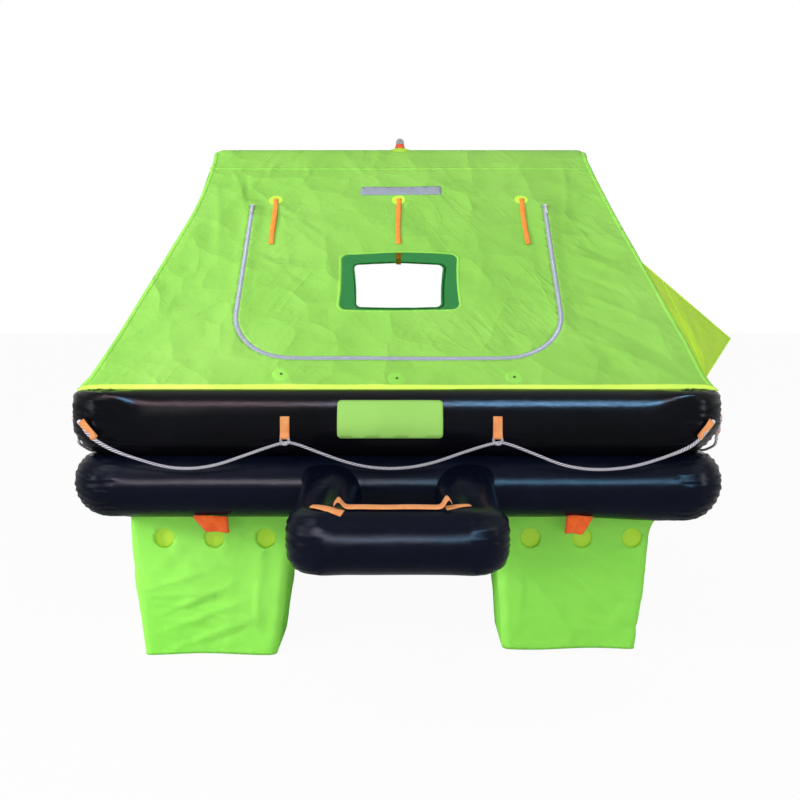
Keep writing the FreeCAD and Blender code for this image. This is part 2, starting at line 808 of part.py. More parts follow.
# Locating lamp on the ridge, and the lamp under the arch
ridge_keep = slope_solid(-seat_gap)
patch = Part.makeCylinder(lamp_patch_r, ridge_r,
                          V(lamp_x, 0, ridge_z + lamp_patch_h - ridge_r))
save("lamp_patch", biggest(patch.cut(ridge_keep), lambda s: True))
base_low = ridge_z + lamp_patch_h
lamp_base = Part.makeCone(lamp_base_r, lamp_base_r * 0.8, lamp_base_h,
                          V(lamp_x, 0, base_low))
save("lamp_base", lamp_base)
dome_low = base_low + lamp_base_h
dome_wall = lamp_dome_h - lamp_dome_r
dome = Part.makeCylinder(lamp_dome_r, dome_wall, V(lamp_x, 0, dome_low))
dome = dome.fuse(domed(lamp_dome_r, V(lamp_x, 0, dome_low + dome_wall), Z_AXIS))
save("lamp_dome", dome)
inner_lamp = Part.makeCylinder(inner_lamp_r, inner_lamp_len,
                               V(-inner_lamp_len / 2, 0,
                                 arch_z - arch_r - inner_lamp_r / 2), X_AXIS)
arch_keep = Part.makeCylinder(arch_r + seat_gap, FAR,
                              V(-FAR / 2, 0, arch_z), X_AXIS)
save("inner_lamp", inner_lamp.cut(arch_keep))


def facing_tube(radius, height, x, z, outward):
    """Round boss on a tube: its inner end follows the tube's surface."""
    start = half + (tube_r - height) * outward
    length = 2 * height
    boss = Part.makeCylinder(radius, length, V(x, start, z),
                             V(0, outward, 0))
    return boss


def valve_cap(x, y, z):
    """Cap that faces the cabin, with grip flats round its rim."""
    cap = Part.makeCylinder(cap_r, cap_h, V(x, y, z), V(0, -1, 0))
    recess = Part.makeCylinder(valve_neck_r + cap_clear,
                               valve_neck_h + cap_clear,
                               V(x, y, z), V(0, -1, 0))
    cap = cap.cut(recess)
    for i in range(cap_grips):
        gx, gz = polar(cap_r + grip_out, 360.0 * i / cap_grips)
        cap = cap.cut(Part.makeCylinder(grip_r, cap_h, V(x + gx, y, z + gz),
                                        V(0, -1, 0)))
    return cap


# Topping-up valves and their caps on the tubes' inner side, at the rear
for level, z, keep in (("lower", lower_z, lower_keep),
                       ("upper", upper_z, upper_keep)):
    body = facing_tube(valve_body_r, valve_body_h, valve_x, z, -1).cut(keep)
    face_y = half - tube_r - valve_body_h
    neck = Part.makeCylinder(valve_neck_r, valve_neck_h + 1,
                             V(valve_x, face_y + 1, z), V(0, -1, 0))
    save("topping_valve_" + level, body.fuse(neck))
    save("valve_cap_" + level, valve_cap(valve_x, face_y - cap_clear, z))

# Relief valves beside them, and inlet valves outside near the cylinder
reliefs = []
inlets = []
for z, keep in ((lower_z, lower_keep), (upper_z, upper_keep)):
    relief = facing_tube(relief_r, relief_h, -valve_x, z, -1).cut(keep)
    reliefs.append(relief)
    inlet = facing_tube(inlet_r, inlet_h, inlet_x, z, 1).cut(keep)
    collar = facing_tube(inlet_r * 1.5, inlet_h / 4, inlet_x, z, 1).cut(keep)
    inlets.append(inlet.fuse(collar))
save("relief_valves", Part.makeCompound(reliefs))
save("inlet_valves", Part.makeCompound(inlets))

# Gas cylinder, its straps and its operating head
cyl_y = half + tube_r + 2 * (seat_gap + cylinder_strap_t) - strap_sink + cylinder_r
body_half = cylinder_len / 2
neck_x = body_half + cylinder_neck_h
dome_x = body_half - cylinder_r
gas_cylinder = Part.makeCylinder(cylinder_r, 2 * dome_x, V(-dome_x, 0, 0),
                                 X_AXIS)
for side in (-1, 1):
    gas_cylinder = gas_cylinder.fuse(domed(cylinder_r, V(side * dome_x, 0, 0),
                                           X_AXIS * side))
gas_cylinder = gas_cylinder.fuse(
    Part.makeCylinder(cylinder_neck_r, neck_x - dome_x, V(dome_x, 0, 0), X_AXIS))
gas_cylinder.translate(V(0, cyl_y, lower_z))
save("gas_cylinder", gas_cylinder)

head = Part.makeBox(head_size[0], head_size[1], head_size[2],
                    V(neck_x, cyl_y - head_size[1] / 2,
                      lower_z - head_size[2] / 2))
head = head.makeChamfer(head_chamfer, head.Edges)
head_x = neck_x + head_size[0] / 2
for side in (-1, 1):
    stub = Part.makeCylinder(outlet_r, head_size[2] / 2 + outlet_len,
                             V(head_x, cyl_y, lower_z), V(0, 0, side))
    head = head.fuse(stub)
save("operating_head", head)

straps = []
for x in (-cylinder_strap_x, cylinder_strap_x):
    start = x - cylinder_strap_w / 2
    loop = Part.makeCylinder(cylinder_r + seat_gap + cylinder_strap_t,
                             cylinder_strap_w, V(start, cyl_y, lower_z),
                             X_AXIS)
    loop = loop.cut(Part.makeCylinder(cylinder_r + seat_gap, cylinder_strap_w,
                                      V(start, cyl_y, lower_z), X_AXIS))
    pad = tube_band(tube_r + seat_gap, tube_r + seat_gap + cylinder_strap_t,
                    (strap_angle, -strap_angle), cylinder_strap_w)
    pad = pad.mirror(V(0, 0, 0), Y_AXIS)
    pad.translate(V(start, half, lower_z))
    straps.append(loop.fuse(pad))
save("cylinder_straps", Part.makeCompound(straps))
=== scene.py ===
import json
import math

import bpy
import numpy as np
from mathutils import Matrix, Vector
from mathutils.geometry import delaunay_2d_cdt
from mathutils.kdtree import KDTree

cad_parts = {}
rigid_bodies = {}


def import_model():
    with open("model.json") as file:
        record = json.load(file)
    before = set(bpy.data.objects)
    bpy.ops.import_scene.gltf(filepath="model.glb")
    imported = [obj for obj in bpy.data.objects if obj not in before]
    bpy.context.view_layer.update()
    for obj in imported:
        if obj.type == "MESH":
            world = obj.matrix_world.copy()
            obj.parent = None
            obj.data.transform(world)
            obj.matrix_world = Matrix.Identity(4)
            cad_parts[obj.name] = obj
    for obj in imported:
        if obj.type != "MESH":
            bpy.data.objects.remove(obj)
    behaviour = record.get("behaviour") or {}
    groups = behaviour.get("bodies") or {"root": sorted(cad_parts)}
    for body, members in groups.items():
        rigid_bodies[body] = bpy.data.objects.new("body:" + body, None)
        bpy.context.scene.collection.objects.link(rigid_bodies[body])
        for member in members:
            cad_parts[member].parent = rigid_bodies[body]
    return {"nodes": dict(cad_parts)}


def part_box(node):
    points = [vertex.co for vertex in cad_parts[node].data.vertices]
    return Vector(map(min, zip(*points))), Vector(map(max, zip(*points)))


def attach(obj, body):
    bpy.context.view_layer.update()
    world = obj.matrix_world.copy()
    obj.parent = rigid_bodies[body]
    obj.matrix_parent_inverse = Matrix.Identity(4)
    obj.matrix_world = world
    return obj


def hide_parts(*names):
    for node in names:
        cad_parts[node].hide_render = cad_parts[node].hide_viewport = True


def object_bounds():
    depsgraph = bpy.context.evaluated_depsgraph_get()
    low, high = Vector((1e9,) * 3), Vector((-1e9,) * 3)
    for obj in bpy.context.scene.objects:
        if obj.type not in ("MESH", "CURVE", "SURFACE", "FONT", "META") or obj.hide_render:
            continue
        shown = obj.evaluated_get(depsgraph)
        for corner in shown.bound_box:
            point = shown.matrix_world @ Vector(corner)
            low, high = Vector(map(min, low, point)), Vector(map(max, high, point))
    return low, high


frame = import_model()
cad_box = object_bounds()

# Main sizes of the raft in metres, as in the part's source
TUBE_R = 0.0975
HALF = 0.8575
FLOOR_BAND, BOND_BAND = 0.020, 0.0375
FLOOR_H = math.sqrt(TUBE_R ** 2 - FLOOR_BAND ** 2)
BOND_H = math.sqrt(TUBE_R ** 2 - BOND_BAND ** 2)
LOWER_Z = 0.002 + FLOOR_H
UPPER_Z = LOWER_Z + 2 * BOND_H
CREST_Z = UPPER_Z + TUBE_R
BASE_Z = CREST_Z + 0.0003
RIDGE_Z = BASE_Z + 0.818
RIDGE_R = 0.0733
RIDGE_C = RIDGE_Z - RIDGE_R
RIDGE_HALF = 0.700
HEM_HALF = 0.938
HIP_SAG = 0.025
RUN = math.hypot(HALF, RIDGE_C - BASE_Z)
SLOPE = math.atan2(RIDGE_C - BASE_Z, HALF) + math.asin(RIDGE_R / RUN)
FLAT = math.sqrt(RUN ** 2 - RIDGE_R ** 2)
REACH = FLAT + RIDGE_R * SLOPE
RIDGE_END_R = 0.030
RIDGE_SEAM = 1.048
CLOTH = 0.0009
ROPE_Y = -0.9599
ROPE_Z = 0.2422

ZIP_X, ZIP_TOP, ZIP_LOW, ZIP_R = 0.509, 0.840, 0.124, 0.190

FRONT_ROUTE = [
    (-772, 197), (-690, 168), (-606, 156), (-520, 166), (-436, 196),
    (-353, 242), (-289, 242), (-214, 200), (-136, 172), (-58, 158),
    (22, 159), (100, 174), (176, 202), (250, 242), (314, 242),
    (392, 198), (470, 166), (552, 154), (634, 158), (706, 173), (772, 197),
]
SIDE_ROUTE = [
    (-772, 197), (-690, 167), (-602, 156), (-512, 165), (-420, 196),
    (-332, 242), (-268, 242), (-188, 197), (-112, 170), (-34, 157),
    (44, 158), (120, 172), (194, 199), (268, 242), (332, 242),
    (414, 198), (496, 167), (584, 155), (660, 160), (720, 176), (772, 197),
]


# ---- small tools ----

def lerp(a, b, t):
    return a + (b - a) * t


def ease(t):
    t = np.clip(t, 0, 1)
    return t * t * (3 - 2 * t)


def lattice(i, j, seed):
    h = np.sin(i * 127.1 + j * 311.7 + seed * 74.7) * 43758.5453
    return h - np.floor(h)


def soft(x, y, size, seed=0):
    """Smooth random bumps from -1 to 1 that are about size across."""
    x, y = np.asarray(x, float) / size, np.asarray(y, float) / size
    i, j = np.floor(x), np.floor(y)
    f, g = x - i, y - j
    f, g = f * f * (3 - 2 * f), g * g * (3 - 2 * g)
    low = lerp(lattice(i, j, seed), lattice(i + 1, j, seed), f)
    high = lerp(lattice(i, j + 1, seed), lattice(i + 1, j + 1, seed), f)
    return 2 * lerp(low, high, g) - 1


def creases(x, y, lines):
    """Sum of long soft folds: x0, y0, x1, y1, width, height."""
    total = np.zeros(np.shape(x))
    for x0, y0, x1, y1, wide, high in lines:
        dx, dy = x1 - x0, y1 - y0
        far = math.hypot(dx, dy)
        t = ((x - x0) * dx + (y - y0) * dy) / far ** 2
        d = ((x - x0) * dy - (y - y0) * dx) / far
        d = d + 0.03 * far * np.sin(3 * t)
        fade = np.clip(4 * t * (1 - t), 0, 1)
        w = wide * (0.6 + 0.8 * np.clip(t, 0, 1))
        total += high * np.exp(-np.sqrt((d / w) ** 2 + 0.06)) * fade
    return total


def scatter(count, box, lean, seed, high=0.0011):
    """Small seeded creases; lean gives their direction at a place."""
    rnd = np.random.RandomState(seed)
    out = []
    for _ in range(count):
        x, y = rnd.uniform(box[0], box[1]), rnd.uniform(box[2], box[3])
        a = lean(x, y) + rnd.normal(0, 0.35)
        far = rnd.uniform(0.06, 0.26)
        out.append((x, y, x + far * math.cos(a), y + far * math.sin(a), rnd.uniform(0.006, 0.016),
                    high * rnd.choice((-1, 1)) * rnd.uniform(0.4, 1.3)))
    return out


def inside(poly, x, y):
    """Which points lie inside a closed outline."""
    found = np.zeros(len(x), bool)
    for (x0, y0), (x1, y1) in zip(poly, np.roll(poly, -1, axis=0)):
        if y0 == y1:
            continue
        cross = (y0 > y) != (y1 > y)
        at = x0 + (y - y0) * (x1 - x0) / (y1 - y0)
        found ^= cross & (x < at)
    return found


def dense(poly, step, closed=True):
    """An outline with points about step apart."""
    poly = np.asarray(poly, float)
    ends = np.roll(poly, -1, axis=0) if closed else poly[1:]
    out = []
    for a, b in zip(poly, ends):
        n = max(1, int(round(np.linalg.norm(b - a) / step)))
        out += [lerp(a, b, k / n) for k in range(n)]
    if not closed:
        out.append(poly[-1])
    return np.array(out)


def round_box(x0, x1, y0, y1, r, n=8):
    pts = []
    for cx, cy, start in ((x1 - r, y0 + r, -90), (x1 - r, y1 - r, 0),
                          (x0 + r, y1 - r, 90), (x0 + r, y0 + r, 180)):
        for k in range(n + 1):
            a = math.radians(start + 90 * k / n)
            pts.append((cx + r * math.cos(a), cy + r * math.sin(a)))
    return np.array(pts)


def circle(cx, cy, r, n=39):
    return [(cx + r * math.cos(w), cy + r * math.sin(w)) for w in np.linspace(0, 2 * math.pi, n + 1)[:-1]]


def run_of(line):
    """Distance along a line at each of its points."""
    return np.concatenate([[0], np.cumsum(np.linalg.norm(np.diff(line, axis=0), axis=1))])


def flat_area(flat, tris):
    a, b, c = flat[tris[:, 0]], flat[tris[:, 1]], flat[tris[:, 2]]
    return float(np.abs(np.cross(b - a, c - a)).sum() / 2)


def quads(rows, n, wrap=True):
    """Faces between rows of n points; wrap closes each row on itself."""
    return [(j * n + i, j * n + (i + 1) % n, (j + 1) * n + (i + 1) % n, (j + 1) * n + i)
            for j in range(rows - 1) for i in range(n if wrap else n - 1)]


def sheet_faces(n):
    """Faces of an n by n grid of points, looking up."""
    return [(i * n + j, (i + 1) * n + j, (i + 1) * n + j + 1, i * n + j + 1)
            for i in range(n - 1) for j in range(n - 1)]


def new_mesh(name, verts, faces, mats, uvs=None, ids=None):
    mesh = bpy.data.meshes.new(name)
    mesh.from_pydata([tuple(v) for v in np.asarray(verts, float)], [],
                     [tuple(int(i) for i in f) for f in faces])
    for m in mats if isinstance(mats, (list, tuple)) else [mats]:
        mesh.materials.append(m)
    mesh.polygons.foreach_set("use_smooth", [True] * len(mesh.polygons))
    if ids is not None:
        mesh.polygons.foreach_set("material_index", [int(i) for i in ids])
    if uvs is not None:
        layer = mesh.uv_layers.new(name="weave")
        loops = np.zeros(len(mesh.loops), int)
        mesh.loops.foreach_get("vertex_index", loops)
        layer.data.foreach_set("uv", np.asarray(uvs, float)[loops].ravel())
    mesh.update()
    piece = bpy.data.objects.new(name, mesh)
    bpy.context.scene.collection.objects.link(piece)
    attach(piece, "raft")
    return piece


def solidify(piece, thick, offset=-1.0, inner=None):
    m = piece.modifiers.new("thickness", "SOLIDIFY")
    m.thickness = thick
    m.offset = offset
    if inner is not None:
        m.material_offset = inner
    return piece


def fill(outline, holes, step):
    """Even triangles inside an outline, round its holes."""
    outline = np.asarray(outline)
    rims = [outline] + [np.asarray(h) for h in holes]
    pts, edges = [], []
    for rim in rims:
        n0 = len(pts)
        pts += list(rim)
        edges += [(n0 + k, n0 + (k + 1) % len(rim)) for k in range(len(rim))]
    low, high = outline.min(axis=0), outline.max(axis=0)
    rows = np.arange(low[1] + step / 2, high[1], step * 0.866)
    gx, gy = [], []
    for k, yy in enumerate(rows):
        xs = np.arange(low[0] + step * (0.25 + 0.5 * (k % 2)), high[0], step)
        gx.append(xs)
        gy.append(np.full(len(xs), yy))
    gx, gy = np.concatenate(gx), np.concatenate(gy)
    keep = inside(outline, gx, gy)
    for rim in rims[1:]:
        keep &= ~inside(rim, gx, gy)
    gx, gy = gx[keep], gy[keep]
    tree = KDTree(len(pts))
    for k, p in enumerate(pts):
        tree.insert((p[0], p[1], 0), k)
    tree.balance()
    far = [tree.find((a, b, 0))[2] > 0.55 * step for a, b in zip(gx, gy)]
    pts += [np.array(p) for p, f in zip(np.column_stack([gx, gy]), far) if f]
    out = delaunay_2d_cdt([Vector((p[0], p[1])) for p in pts], edges, [], 0, 1e-7, False)
    v = np.array([(p.x, p.y) for p in out[0]])
    f = np.array([t for t in out[2] if len(t) == 3])
    mid = v[f].mean(axis=1)
    keep = inside(outline, mid[:, 0], mid[:, 1])
    for rim in rims[1:]:
        keep &= ~inside(rim, mid[:, 0], mid[:, 1])
    a, b, c = v[f[:, 0]], v[f[:, 1]], v[f[:, 2]]
    twice = (b[:, 0] - a[:, 0]) * (c[:, 1] - a[:, 1]) - (b[:, 1] - a[:, 1]) * (c[:, 0] - a[:, 0])
    keep &= np.abs(twice) > 1e-9
    f = np.where((twice < 0)[:, None], f[:, ::-1], f)[keep]
    used, f = np.unique(f, return_inverse=True)
    return v[used], f.reshape(-1, 3)


def ribbon(path, width, thick, place, lift=0.0, across=4, closed=False, edge=6):
    """A flat tape along a path on a surface: points, faces and its UVs."""
    path = np.asarray(path, float)
    if closed:
        along = np.roll(path, -1, axis=0) - np.roll(path, 1, axis=0)
    else:
        along = np.gradient(path, axis=0)
    along /= np.linalg.norm(along, axis=1)[:, None]
    side = np.column_stack([along[:, 1], -along[:, 0]])
    far = run_of(path)
    wide = np.broadcast_to(width, len(path))
    lifts = np.broadcast_to(lift, len(path))
    rows, uvs = [], []
    for j in range(across + 1):
        t = 2 * j / across - 1
        p = path + side * (t * wide / 2)[:, None]
        h = thick / 2 * (1 - 0.7 * abs(t) ** edge)
        rows.append(place(p[:, 0], p[:, 1], lifts + h))
        uvs.append(np.column_stack([far, t * wide / 2]))
    for j in range(across, -1, -1):
        t = 2 * j / across - 1
        p = path + side * (t * wide / 2)[:, None]
        h = -thick / 2 * (1 - 0.7 * abs(t) ** edge)
        rows.append(place(p[:, 0], p[:, 1], lifts + h))
        uvs.append(np.column_stack([far, t * wide / 2]))
    return loft(rows, closed, uvs)


def loft(rows, closed, uvs):
    """Rows are closed round the section; each row runs along the piece."""
    k, n = len(rows), len(rows[0])
    faces = [tuple(i % (k * n) for i in q) for q in quads(k + 1, n, closed)]
    if not closed:
        faces.append([j * n for j in range(k)])
        faces.append([j * n + n - 1 for j in range(k)][::-1])
    return np.concatenate(rows), faces, np.concatenate(uvs)


def joined(parts):
    """Several (verts, faces, uvs) as one."""
    verts, faces, uvs, n = [], [], [], 0
    for v, f, u in parts:
        verts.append(v)
        faces += [[i + n for i in face] for face in f]
        uvs.append(u)
        n += len(v)
    return np.concatenate(verts), faces, np.concatenate(uvs)


def new_pair(name, first, second, mats):
    """One piece of two sets of parts, each set with its own material."""
    v, f, u = joined(first + second)
    count = sum(len(part[1]) for part in first)
    return new_mesh(name, v, f, mats, u, [0] * count + [1] * (len(f) - count))


def frames_along(pts):
    """Directions along a line and two across it that turn as little as can be."""
    pts = np.asarray(pts, float)
    t = np.gradient(pts, axis=0)
    t /= np.linalg.norm(t, axis=1)[:, None]
    a = np.cross(t[0], (0, 0, 1))
    a /= np.linalg.norm(a)
    side = [a]
    for k in range(1, len(pts)):
        a = side[-1] - t[k] * np.dot(side[-1], t[k])
        side.append(a / np.linalg.norm(a))
    side = np.array(side)
    return t, side, np.cross(side, t)


def tube_mesh(pts, radius, sides=16):
    t, a, b = frames_along(pts)
    pts = np.asarray(pts, float)
    r = np.broadcast_to(radius, len(pts))[:, None]
    far = run_of(pts)
    rows, uvs = [], []
    for k in range(sides):
        w = 2 * math.pi * k / sides
        rows.append(pts + r * (a * math.cos(w) + b * math.sin(w)))
        uvs.append(np.column_stack([far, np.full(len(pts), w * r[:, 0])]))
    return loft(rows, False, uvs)


def lathe(profile, at, axis=(0, 0, 1), seg=48):
    """A turned shape from (radius, height) points."""
    axis = np.array(axis, float)
    other = np.array((1, 0, 0)) if abs(axis[2]) > 0.9 else np.array((0, 0, 1))
    a = np.cross(axis, other)
    a /= np.linalg.norm(a)
    b = np.cross(axis, a)
    verts = []
    for r, h in profile:
        for k in range(seg):
            w = 2 * math.pi * k / seg
            verts.append(np.array(at) + axis * h + r * (a * math.cos(w) + b * math.sin(w)))
    last = (len(profile) - 1) * seg
    faces = quads(len(profile), seg) + [list(range(seg))[::-1], list(range(last, last + seg))]
    return np.array(verts), faces, np.zeros((len(verts), 2))


def turn(v, degrees):
    c, s = math.cos(math.radians(degrees)), math.sin(math.radians(degrees))
    v = np.asarray(v, float)
    return np.column_stack([c * v[:, 0] - s * v[:, 1], s * v[:, 0] + c * v[:, 1], v[:, 2]])


# ---- materials ----

def srgb(r, g, b):
    return tuple((c / 255 / 12.92 if c / 255 <= 0.04045 else ((c / 255 + 0.055) / 1.055) ** 2.4)
                 for c in (r, g, b)) + (1,)


class Mat:
    """A Principled material with a few shortcuts for its nodes."""

    def __init__(self, name, rough=0.5, spec=0.5, metal=0.0, sheen=0.0, coat=0.0):
        self.mat = bpy.data.materials.new(name)
        self.mat.use_nodes = True
        self.nt = self.mat.node_tree
        self.bsdf = self.nt.nodes["Principled BSDF"]
        self.bsdf.inputs["Roughness"].default_value = rough
        self.bsdf.inputs["Specular IOR Level"].default_value = spec
        self.bsdf.inputs["Metallic"].default_value = metal
        self.bsdf.inputs["Sheen Weight"].default_value = sheen
        self.bsdf.inputs["Coat Weight"].default_value = coat
        self.coords = self.nt.nodes.new("ShaderNodeTexCoord")

    def node(self, kind, **values):
        n = self.nt.nodes.new(kind)
        for k, v in values.items():
            setattr(n, k, v)
        return n

    def link(self, a, b):
        self.nt.links.new(a, b)

    def mapped(self, scale=(1, 1, 1), rotate=(0, 0, 0), uv=False):
        m = self.node("ShaderNodeMapping")
        m.inputs["Scale"].default_value = scale
        m.inputs["Rotation"].default_value = rotate
        self.link(self.coords.outputs["UV" if uv else "Object"], m.inputs["Vector"])
        return m.outputs["Vector"]

    def noise(self, scale, detail=2.0, rough=0.5, vector=None, distort=0.0):
        n = self.node("ShaderNodeTexNoise")
        n.inputs["Scale"].default_value = scale
        n.inputs["Detail"].default_value = detail
        n.inputs["Roughness"].default_value = rough
        n.inputs["Distortion"].default_value = distort
        self.link(vector or self.mapped(), n.inputs["Vector"])
        return n.outputs["Fac"]

    def wrinkle(self, size, lean, width):
        """Ridges of the given size in metres, turned by lean degrees in the upright plane."""
        v = self.node("ShaderNodeMapping", vector_type="TEXTURE")
        v.inputs["Scale"].default_value = size
        v.inputs["Rotation"].default_value = (0, math.radians(lean), 0)
        self.link(self.coords.outputs["Object"], v.inputs["Vector"])
        n = self.noise(1.0, 2.0, 0.5, v.outputs["Vector"], 0.3)
        off = self.math("ABSOLUTE", self.math("SUBTRACT", n, 0.5), 0.0)
        return self.span(off, 0.0, width, 1.0, 0.0)

    def wave(self, scale, vector, direction="X", distort=0.0):
        n = self.node("ShaderNodeTexWave", wave_type="BANDS", bands_direction=direction)
        n.inputs["Scale"].default_value = scale
        n.inputs["Distortion"].default_value = distort
        self.link(vector, n.inputs["Vector"])
        return n.outputs["Fac"]

    def math(self, op, a, b, c=None):
        n = self.node("ShaderNodeMath", operation=op)
        for k, v in enumerate((a, b, c)):
            if v is None:
                continue
            if isinstance(v, (int, float)):
                n.inputs[k].default_value = v
            else:
                self.link(v, n.inputs[k])
        return n.outputs[0]

    def ramp(self, fac, stops):
        n = self.node("ShaderNodeValToRGB")
        el = n.color_ramp.elements
        while len(el) < len(stops):
            el.new(0.5)
        for e, (pos, col) in zip(el, stops):
            e.position = pos
            e.color = col
        self.link(fac, n.inputs["Fac"])
        return n.outputs["Color"]

    def span(self, value, a, b, c, d):
        n = self.node("ShaderNodeMapRange")
        for k, v in enumerate((a, b, c, d)):
            n.inputs[k + 1].default_value = v
        self.link(value, n.inputs[0])
        return n.outputs[0]

    def mix(self, fac, a, b):
        n = self.node("ShaderNodeMix", data_type="RGBA")
        if isinstance(fac, (int, float)):
            n.inputs[0].default_value = fac
        else:
            self.link(fac, n.inputs[0])
        for k, v in ((6, a), (7, b)):
            if isinstance(v, tuple):
                n.inputs[k].default_value = v
            else:
                self.link(v, n.inputs[k])
        return n.outputs[2]

    def mottle(self, scale, detail, low, high):
        """Base colour that drifts between two tones."""
        return self.colour(self.ramp(self.noise(scale, detail), [(0.3, low), (0.7, high)]))

    def colour(self, socket):
        if isinstance(socket, tuple):
            self.bsdf.inputs["Base Color"].default_value = socket
        else:
            self.link(socket, self.bsdf.inputs["Base Color"])
        return self

    def roughness(self, socket):
        self.link(socket, self.bsdf.inputs["Roughness"])
        return self

    def bump(self, *heights):
        """Each height is (socket, distance in metres)."""
        last = None
        for socket, distance in heights:
            n = self.node("ShaderNodeBump")
            n.inputs["Strength"].default_value = 1.0
            n.inputs["Distance"].default_value = distance
            self.link(socket, n.inputs["Height"])
            if last is not None:
                self.link(last, n.inputs["Normal"])
            last = n.outputs["Normal"]
        self.link(last, self.bsdf.inputs["Normal"])
        return self


THREAD = 1600.0


def coated_cloth(name, light, base, dark, rough=0.5, spec=0.15, through=None, share=0.3, crush=0.0):
    """Coated nylon: slow tint changes, a fine plain weave and soft crinkles.

    crush adds sharp slanting wrinkles, leaning to the left on the left half and to the right
    on the right half, as a cloth that hangs from its middle has them.
    """
    m = Mat(name, rough, spec)
    slow = m.noise(2.2, 3.0, 0.55)
    tint = m.ramp(slow, [(0.25, dark), (0.5, base), (0.78, light)])
    speck = m.span(m.noise(240.0, 2.0), 0.35, 0.65, 0.0, 0.06)
    m.colour(m.mix(speck, tint, light))
    weave_a = m.wave(THREAD, m.mapped(), "X")
    weave_b = m.wave(THREAD, m.mapped(), "Z")
    weave = m.math("MULTIPLY", weave_a, weave_b)
    crinkle = m.noise(26.0, 4.0, 0.6, distort=0.6)
    fold = m.node("ShaderNodeTexVoronoi", feature="F1")
    fold.inputs["Scale"].default_value = 7.0
    bent = m.node("ShaderNodeVectorMath", operation="ADD")
    m.link(m.mapped(), bent.inputs[0])
    shift = m.node("ShaderNodeTexNoise")
    shift.inputs["Scale"].default_value = 3.0
    m.link(m.mapped(), shift.inputs["Vector"])
    small = m.node("ShaderNodeVectorMath", operation="SCALE")
    small.inputs["Scale"].default_value = 0.3
    m.link(shift.outputs["Color"], small.inputs[0])
    m.link(small.outputs[0], bent.inputs[1])
    m.link(bent.outputs[0], fold.inputs["Vector"])
    m.roughness(m.span(m.noise(9.0, 3.0), 0.2, 0.8, rough - 0.06, rough + 0.08))
    heights = [(fold.outputs["Distance"], 0.006 + 0.007 * crush),
               (crinkle, 0.0012 + 0.0012 * crush), (weave, 0.00006)]
    if crush:
        across = m.node("ShaderNodeSeparateXYZ")
        m.link(m.mapped(), across.inputs[0])
        patchy = m.span(m.noise(3.4, 2.0), 0.42, 0.62, 0.0, 1.0)
        for lean, left, right in ((48, 0.0, 1.0), (-50, 1.0, 0.0)):
            line = m.wrinkle((0.34, 0.34, 0.055), lean, 0.08)
            side = m.span(across.outputs["X"], -0.12, 0.25, left, right)
            share_here = m.math("MULTIPLY", side, patchy)
            heights.append((m.math("MULTIPLY", line, share_here), 0.0013 * crush))
        line = m.wrinkle((0.16, 0.16, 0.050), 15, 0.07)
        heights.append((m.math("MULTIPLY", line, patchy), 0.0007 * crush))
    m.bump(*heights)
    if through:
        glow = m.node("ShaderNodeBsdfTranslucent")
        glow.inputs["Color"].default_value = through
        both = m.node("ShaderNodeMixShader")
        both.inputs[0].default_value = share
        m.link(m.bsdf.outputs[0], both.inputs[1])
        m.link(glow.outputs[0], both.inputs[2])
        out = m.nt.nodes["Material Output"]
        m.link(both.outputs[0], out.inputs["Surface"])
    return m.mat


def webbing(name, base, dark, pitch=0.0016):
    """Woven tape: ribs across the tape and fine lines along it."""
    m = Mat(name, 0.72, 0.25, sheen=0.15)
    vector = m.mapped(uv=True)
    rib = m.wave(1 / pitch / 6.28 * 3.14, vector, "X")
    warp = m.wave(1 / pitch / 6.28 * 3.14, vector, "Y")
    tone = m.mix(m.span(m.noise(60.0, 3.0), 0.3, 0.7, 0.0, 1.0), dark, base)
    m.colour(m.mix(m.span(rib, 0.0, 0.5, 0.25, 0.0), tone, dark))
    m.bump((m.math("ADD", rib, warp), 0.0003), (m.noise(40.0, 2.0), 0.0006))
    return m.mat


def tube_skin(name, low, high, spec):
    """Black coated fabric: even gloss broken by the cloth under the coating."""
    m = Mat(name, 0.18, spec)
    tone = m.noise(6.0, 4.0, 0.6)
    m.colour(m.ramp(tone, [(0.3, low), (0.7, high)]))
    m.roughness(m.span(m.noise(34.0, 4.0, 0.65), 0.25, 0.75, 0.14, 0.26))
    weave_a = m.wave(1400.0, m.mapped(), "X")
    weave_b = m.wave(1400.0, m.mapped(), "Z")
    m.bump((m.noise(7.0, 2.0, 0.5), 0.0016), (m.noise(48.0, 3.0, 0.6), 0.00030),
           (m.math("MULTIPLY", weave_a, weave_b), 0.00004))
    return m.mat


